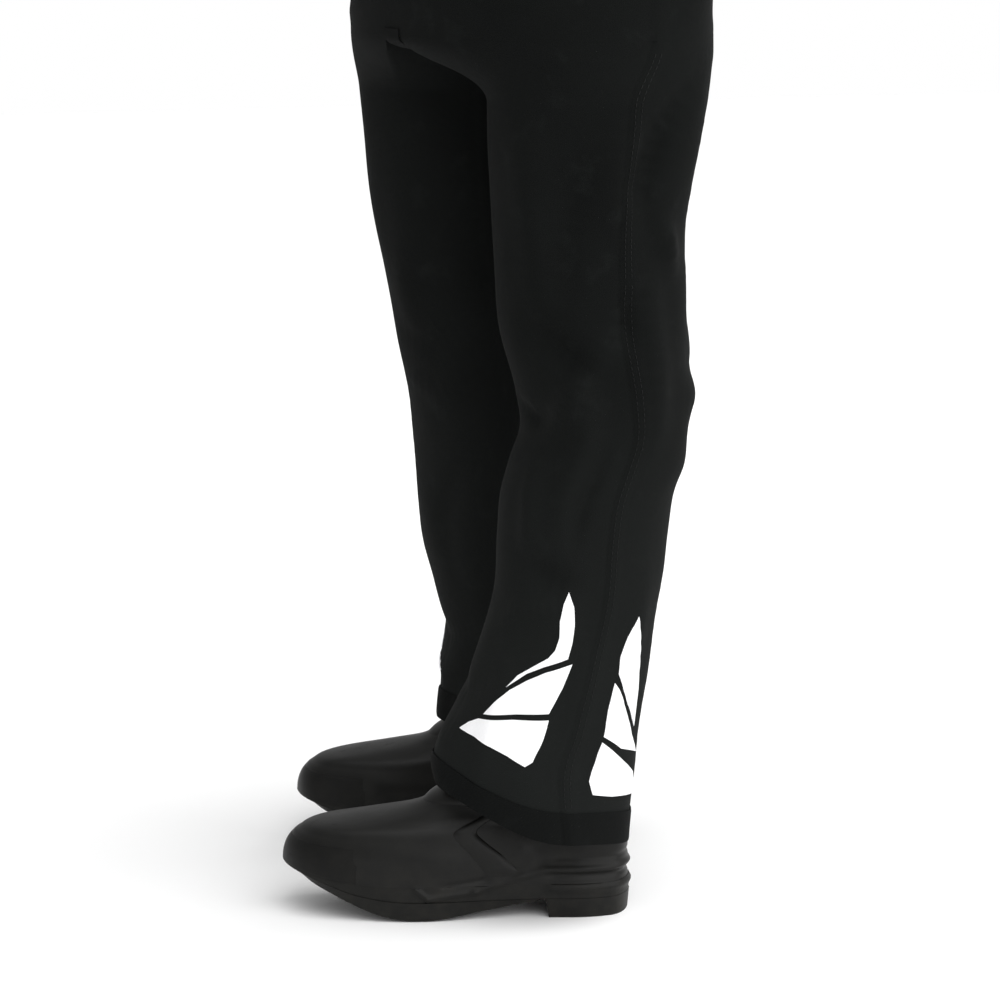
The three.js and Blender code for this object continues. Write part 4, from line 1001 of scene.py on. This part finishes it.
def pull_handles(side):
    """Two rubber loops standing on the shaft's rim. Returns points and faces."""
    points, faces = [], []
    rim_line = boot_ring(side, SHAFT_TOP, -2.25)
    step = np.gradient(HANDLE, axis=0)
    normal = np.stack([step[:, 1], -step[:, 0]], -1)
    normal /= np.linalg.norm(normal, axis=1)[:, None]
    for quarter in (1, 3):
        x, y, _ = rim_line[quarter * RING // 4]
        start = len(points)
        points += [(x + p, y + v + nv * q, SHAFT_TOP + w + nw * q)
                   for (v, w), (nv, nw) in zip(HANDLE, normal) for p, q in HANDLE_CUT]
        last = len(points) - 6
        faces += tubes([start], len(HANDLE), 6)
        faces += [tuple(range(start, start + 6)), tuple(range(last + 5, last - 1, -1))]
    return points, faces


def boot_piece(side, name, made, material, slot, sharp, replaced=True, **more):
    """A moulded piece of a boot, from its points and faces."""
    return make(f"{side}_{name}_moulded", boot_place(side, np.asarray(made[0])), made[1], f"{side}_shin", material,
                slot=slot, sharp=sharp, replaces=(f"{side}_{name}",) if replaced else (), **more)


for side in SIDES:
    ring_at = partial(boot_ring, side)
    zs = np.concatenate([np.linspace(32.4, 86, 44), np.linspace(87, 136, 56), np.linspace(140, SHAFT_TOP - 2, 34)])
    rings = [ring_at(float(z), 0, moulded=True) for z in zs]
    rings += [ring_at(SHAFT_TOP - drop, offset) for drop, offset in ((0.7, -0.6), (0, -1.6), (0, -2.9), (0.7, -3.9))]
    rings += [ring_at(float(z), -4.5, 4.5) for z in np.linspace(SHAFT_TOP - 4, 37.5, 46)]
    boot_piece(side, "boot_upper", loft(rings), boot_skin, "boot_rubber", 70)
    boot_piece(side, "boot_midsole", midsole(side), sole_skin, "sole_rubber", 60)
    boot_piece(side, "boot_outsole", outsole(side), sole_skin, "sole_rubber", 40)

    # Toe bumper: a thicker cap of rubber round the toe, down to the sole.
    shares = np.linspace(0.5 - 0.125, 0.5 + 0.125, 90)
    ends = smooth(np.abs(shares - 0.5), 0.125, 0.085)
    grid_out, grid_in = [], []
    for z in np.linspace(33, 66, 26):
        edge = min(1, (z - 32.4) / 1.5 + 0.3, (66.6 - z) / 5)
        thick = 0.22 + 1.1 * edge * ends
        far, near = ring_at(float(z), 3.0, share=shares), ring_at(float(z), 0.1, share=shares)
        grid_out.append(near + (far - near) * (thick / 2.9)[:, None])
        grid_in.append(ring_at(float(z), -1.0, share=shares))
    made = slab(np.array(grid_out), np.array(grid_in))
    boot_piece(side, "boot_toe_bumper", made, bumper_skin, "sole_rubber", 60)

    # Instep strap: a moulded band over the instep, down both sides to the arch.
    along = np.linspace(-1, 1, 120)
    knots = [0, 0.25, 0.45, 0.65, 0.85, 1]
    around = curve(np.abs(along), knots, [0.0, 0.11, 0.18, 0.222, 0.282, 0.312])
    height = curve(np.abs(along), knots, [113, 111, 104.5, 91, 63, 41])
    stack = [np.array([ring_at(float(z), off) for z in STACK_Z]) for off in GRIP]
    grid_out, grid_in = [], []
    for t in np.linspace(-1, 1, 15):
        share = 0.5 - np.sign(along) * (around - 0.021 * t * np.minimum(1, np.abs(along) * 5))
        z = height + 10 * t * (1 - np.abs(along)) ** 1.2
        lift = 2.4 * (1 - abs(t) ** 3) * smooth(np.abs(along), 1.0, 0.95) + 0.2
        grid_out.append(on_boot(stack, z, share, lift))
        grid_in.append(on_boot(stack, z, share, 0 * z - 1.2))
    made = slab(np.array(grid_out), np.array(grid_in))
    boot_piece(side, "boot_instep_strap", made, boot_skin, "boot_rubber", 60)

    made = loft([ring_at(z, off) for z, off in ((37.8, -5.4), (38.4, -5.0), (40.6, -5.0), (41.3, -5.6))])
    boot_piece(side, "boot_insole", made, felt, "insole_felt", 50, uv=made[0][:, :2] / 1000)
    boot_piece(side, "boot_pull_handles", pull_handles(side), boot_skin, "boot_rubber", 40, replaced=False)

# ---------- Seat ----------
SEAT_EDGE = STRIP_ANGLE * 0.998  # stops just short of the other half
SEAT_COLUMNS = np.concatenate([np.linspace(-QUARTER - SEAT_EDGE, -QUARTER, 5)[:-1],
                               np.linspace(-QUARTER, QUARTER, 100),
                               np.linspace(QUARTER, QUARTER + SEAT_EDGE, 5)[1:]])
BAND_ROWS = [WAIST, WAIST - 1.2, *np.linspace(WAIST - 4, 1012, 12), 1009.2, 1008]


def seat_skin(side, a, z, off):
    """Places on the seat's shell, whose outseam runs on from the leg's."""
    return seat(side, a, z, off + outseam_offset(a * WALL_FROM / QUARTER) * smooth(z, 1030, 1000))


for side in SIDES:
    piece = sheet(f"{side}_seat_shell", partial(seat_skin, side), SEAT_COLUMNS, np.linspace(1048, CROTCH, 72), 0,
                  -SHELL, "seat", shell_cloth, slot="outer_shell_cloth",
                  replaces=(f"{side}_seat_front_panel", f"{side}_seat_rear_panel"))
    band_angles = SEAT_COLUMNS[SEAT_COLUMNS > -QUARTER + math.radians(4)]
    piece = sheet(f"{side}_waistband_cloth", partial(seat, side), band_angles, BAND_ROWS, SEAM + BAND, SEAM, "seat",
                  web, roll=1.0, slot="webbing", replaces=(f"{side}_waistband",))
    piece = sheet(f"{side}_takeup_strap_cloth", partial(seat, side, folded=False), np.radians(np.linspace(5.6, 50, 40)),
                  np.linspace(1041.5, 1016.5, 7), 6.0, 4.0, "seat", web, roll=0.7, slot="webbing",
                  replaces=(f"{side}_takeup_strap",))

LINER_COLUMNS = SEAT_COLUMNS[::2][SEAT_COLUMNS[::2] < QUARTER + STRIP_ANGLE / 2]


def liner_grid(off):
    z = np.linspace(1008, CROTCH, 30)[:, None]
    halves = [seat("left", LINER_COLUMNS[None], z, off), seat("right", LINER_COLUMNS[None, ::-1], z, off)]
    return np.concatenate(halves, 1)


piece = make_slab("seat_liner_cloth", liner_grid(LINER_OUT), liner_grid(LINER_IN), "seat", lining, slot="quilted_liner",
                  replaces=("seat_liner",))


def gusset(outside):
    """One face of the gusset: under the fork from front to back, its ends lapped over the seat's lower edge."""
    share, across = np.linspace(-1, 1, 60), np.linspace(-12.36, 12.36, 7)
    swing = np.clip((share + 1) * math.pi / 2 * 1.06 - 0.03 * math.pi, 0, math.pi)
    under = np.sin(swing) ** 0.8
    r, depth = (147.3, 22) if outside else (146.4 - 4 * under, 19)
    lap = 6 * np.clip((np.abs(share) - 0.943) / 0.057, 0, 1)
    return seat_frame(across[:, None], -r * np.cos(swing), CROTCH + lap - depth * under)


piece = make_slab("crotch_gusset_cloth", gusset(True), gusset(False), "seat", strong_cloth, slot="reinforcement_cloth",
                  replaces=("crotch_gusset",))

# ---------- Closure ----------
SLOPE = math.atan(28 / 200)


def front_frame(x, y, z):
    """The closure's own frame, at the top of the front's middle."""
    x, y, z = spread(x, y, z)
    c, s = math.cos(-SLOPE), math.sin(-SLOPE)
    return seat_frame(x, -120 + y * c - z * s, WAIST + y * s + z * c)


tape_z = np.linspace(-46, -197, 90)[:, None]
tape_x = np.concatenate([np.linspace(-11.5, -1.2, 8), np.linspace(1.2, 11.5, 8)])
piece = make_slab("zip_tape_cloth", front_frame(tape_x, -1.8, tape_z), front_frame(tape_x, -0.5, tape_z), "seat", web,
                  slot="webbing", replaces=("zip_tape",))
points, faces = [], []
for k, z in enumerate(np.arange(-48, -195, -1.7)):
    side_x = 0.75 if k % 2 else -0.75
    start = len(points)
    for y, w, h in ((-1.9, 2.1, 0.62), (-3.1, 2.1, 0.62), (-3.4, 1.7, 0.4)):
        points += [tuple(front_frame(side_x + dx, y, z + dz)) for dx, dz in ((-w, -h), (w, -h), (w, h), (-w, h))]
    faces += [(start, start + 1, start + 2, start + 3), (start + 11, start + 10, start + 9, start + 8)]
    faces += tubes([start], 3, 4)
make("zip_teeth", points, faces, "seat", nickel, slot="nickel", sharp=30)


def band_point(x, z, off):
    """A place on the front of the waistband, x from its middle."""
    x, z, off = spread(x, z, off)
    a = -np.arccos(np.clip((np.abs(x) - STRIP) / (SEAT_WIDE[2] - STRIP), 0, 1))
    left, right = seat("left", a, z, off, False), seat("right", a, z, off, False)
    share = np.clip((x / STRIP + 1) / 2, 0, 1)[..., None]
    edge_l, edge_r = (seat(side, -QUARTER + 0 * x, z, off, False) for side in SIDES)
    wide = np.where((x > 0)[..., None], left, right)
    return np.where((np.abs(x) >= STRIP)[..., None], wide, edge_r * (1 - share) + edge_l * share)


SNAP_X, TAB_HALF = -37, 15  # the snap's place, and half the tab's height
tab_x = np.concatenate([np.linspace(62, SNAP_X, 60),
                        SNAP_X - TAB_HALF * np.sin(np.linspace(0.08, QUARTER * 0.985, 14))])
half_high = TAB_HALF * np.sqrt(np.maximum(1 - (np.maximum(0, (SNAP_X - tab_x) / TAB_HALF)) ** 2, 0.02))
tab_t = np.linspace(1, -1, 13)[:, None]
tab_z = WAIST - 23 + tab_t * half_high
edge = 0.5 * (np.abs(tab_t) > 0.99)
piece = make_slab("waist_tab_cloth", band_point(tab_x, tab_z, 6.6 - edge), band_point(tab_x, tab_z, 4.0 + edge),
                  "waist_tab", strong_cloth, slot="outer_shell_cloth", replaces=("waist_tab",))


def loop_point(s, t, off):
    """A place on the hanger loop: s along it and t down it, both from 0 to 1."""
    x = 84 * (s - 0.5)
    arch = 14 * math.sin(math.pi * min(max((s - 0.2) / 0.6, 0), 1))
    far = abs(x) / 168
    a = QUARTER + STRIP_ANGLE - min(far * 14, 1) * STRIP_ANGLE - max(far - 1 / 14, 0) * 1.05
    return seat("left" if x >= 0 else "right", a, WAIST - 12 - t * 14, 4.0 + arch + off, False)


loop_out, loop_in = (np.array([[loop_point(s, t, off) for s in np.linspace(0, 1, 60)] for t in np.linspace(0, 1, 7)])
                     for off in (2, 0))
piece = make_slab("hanger_loop_web", loop_out, loop_in, "seat", web, slot="webbing", replaces=("hanger_loop",))

# ---------- Hardware keeps its shape and takes its material ----------
for name, obj in frame["nodes"].items():
    if name.endswith(("_button", "zip_slider", "zip_pull", "snap_cap", "snap_stud")):
        finish = nickel
    elif name.endswith("_buckle"):
        finish = black_plastic
    else:
        continue
    obj.data.materials.clear()
    obj.data.materials.append(finish)
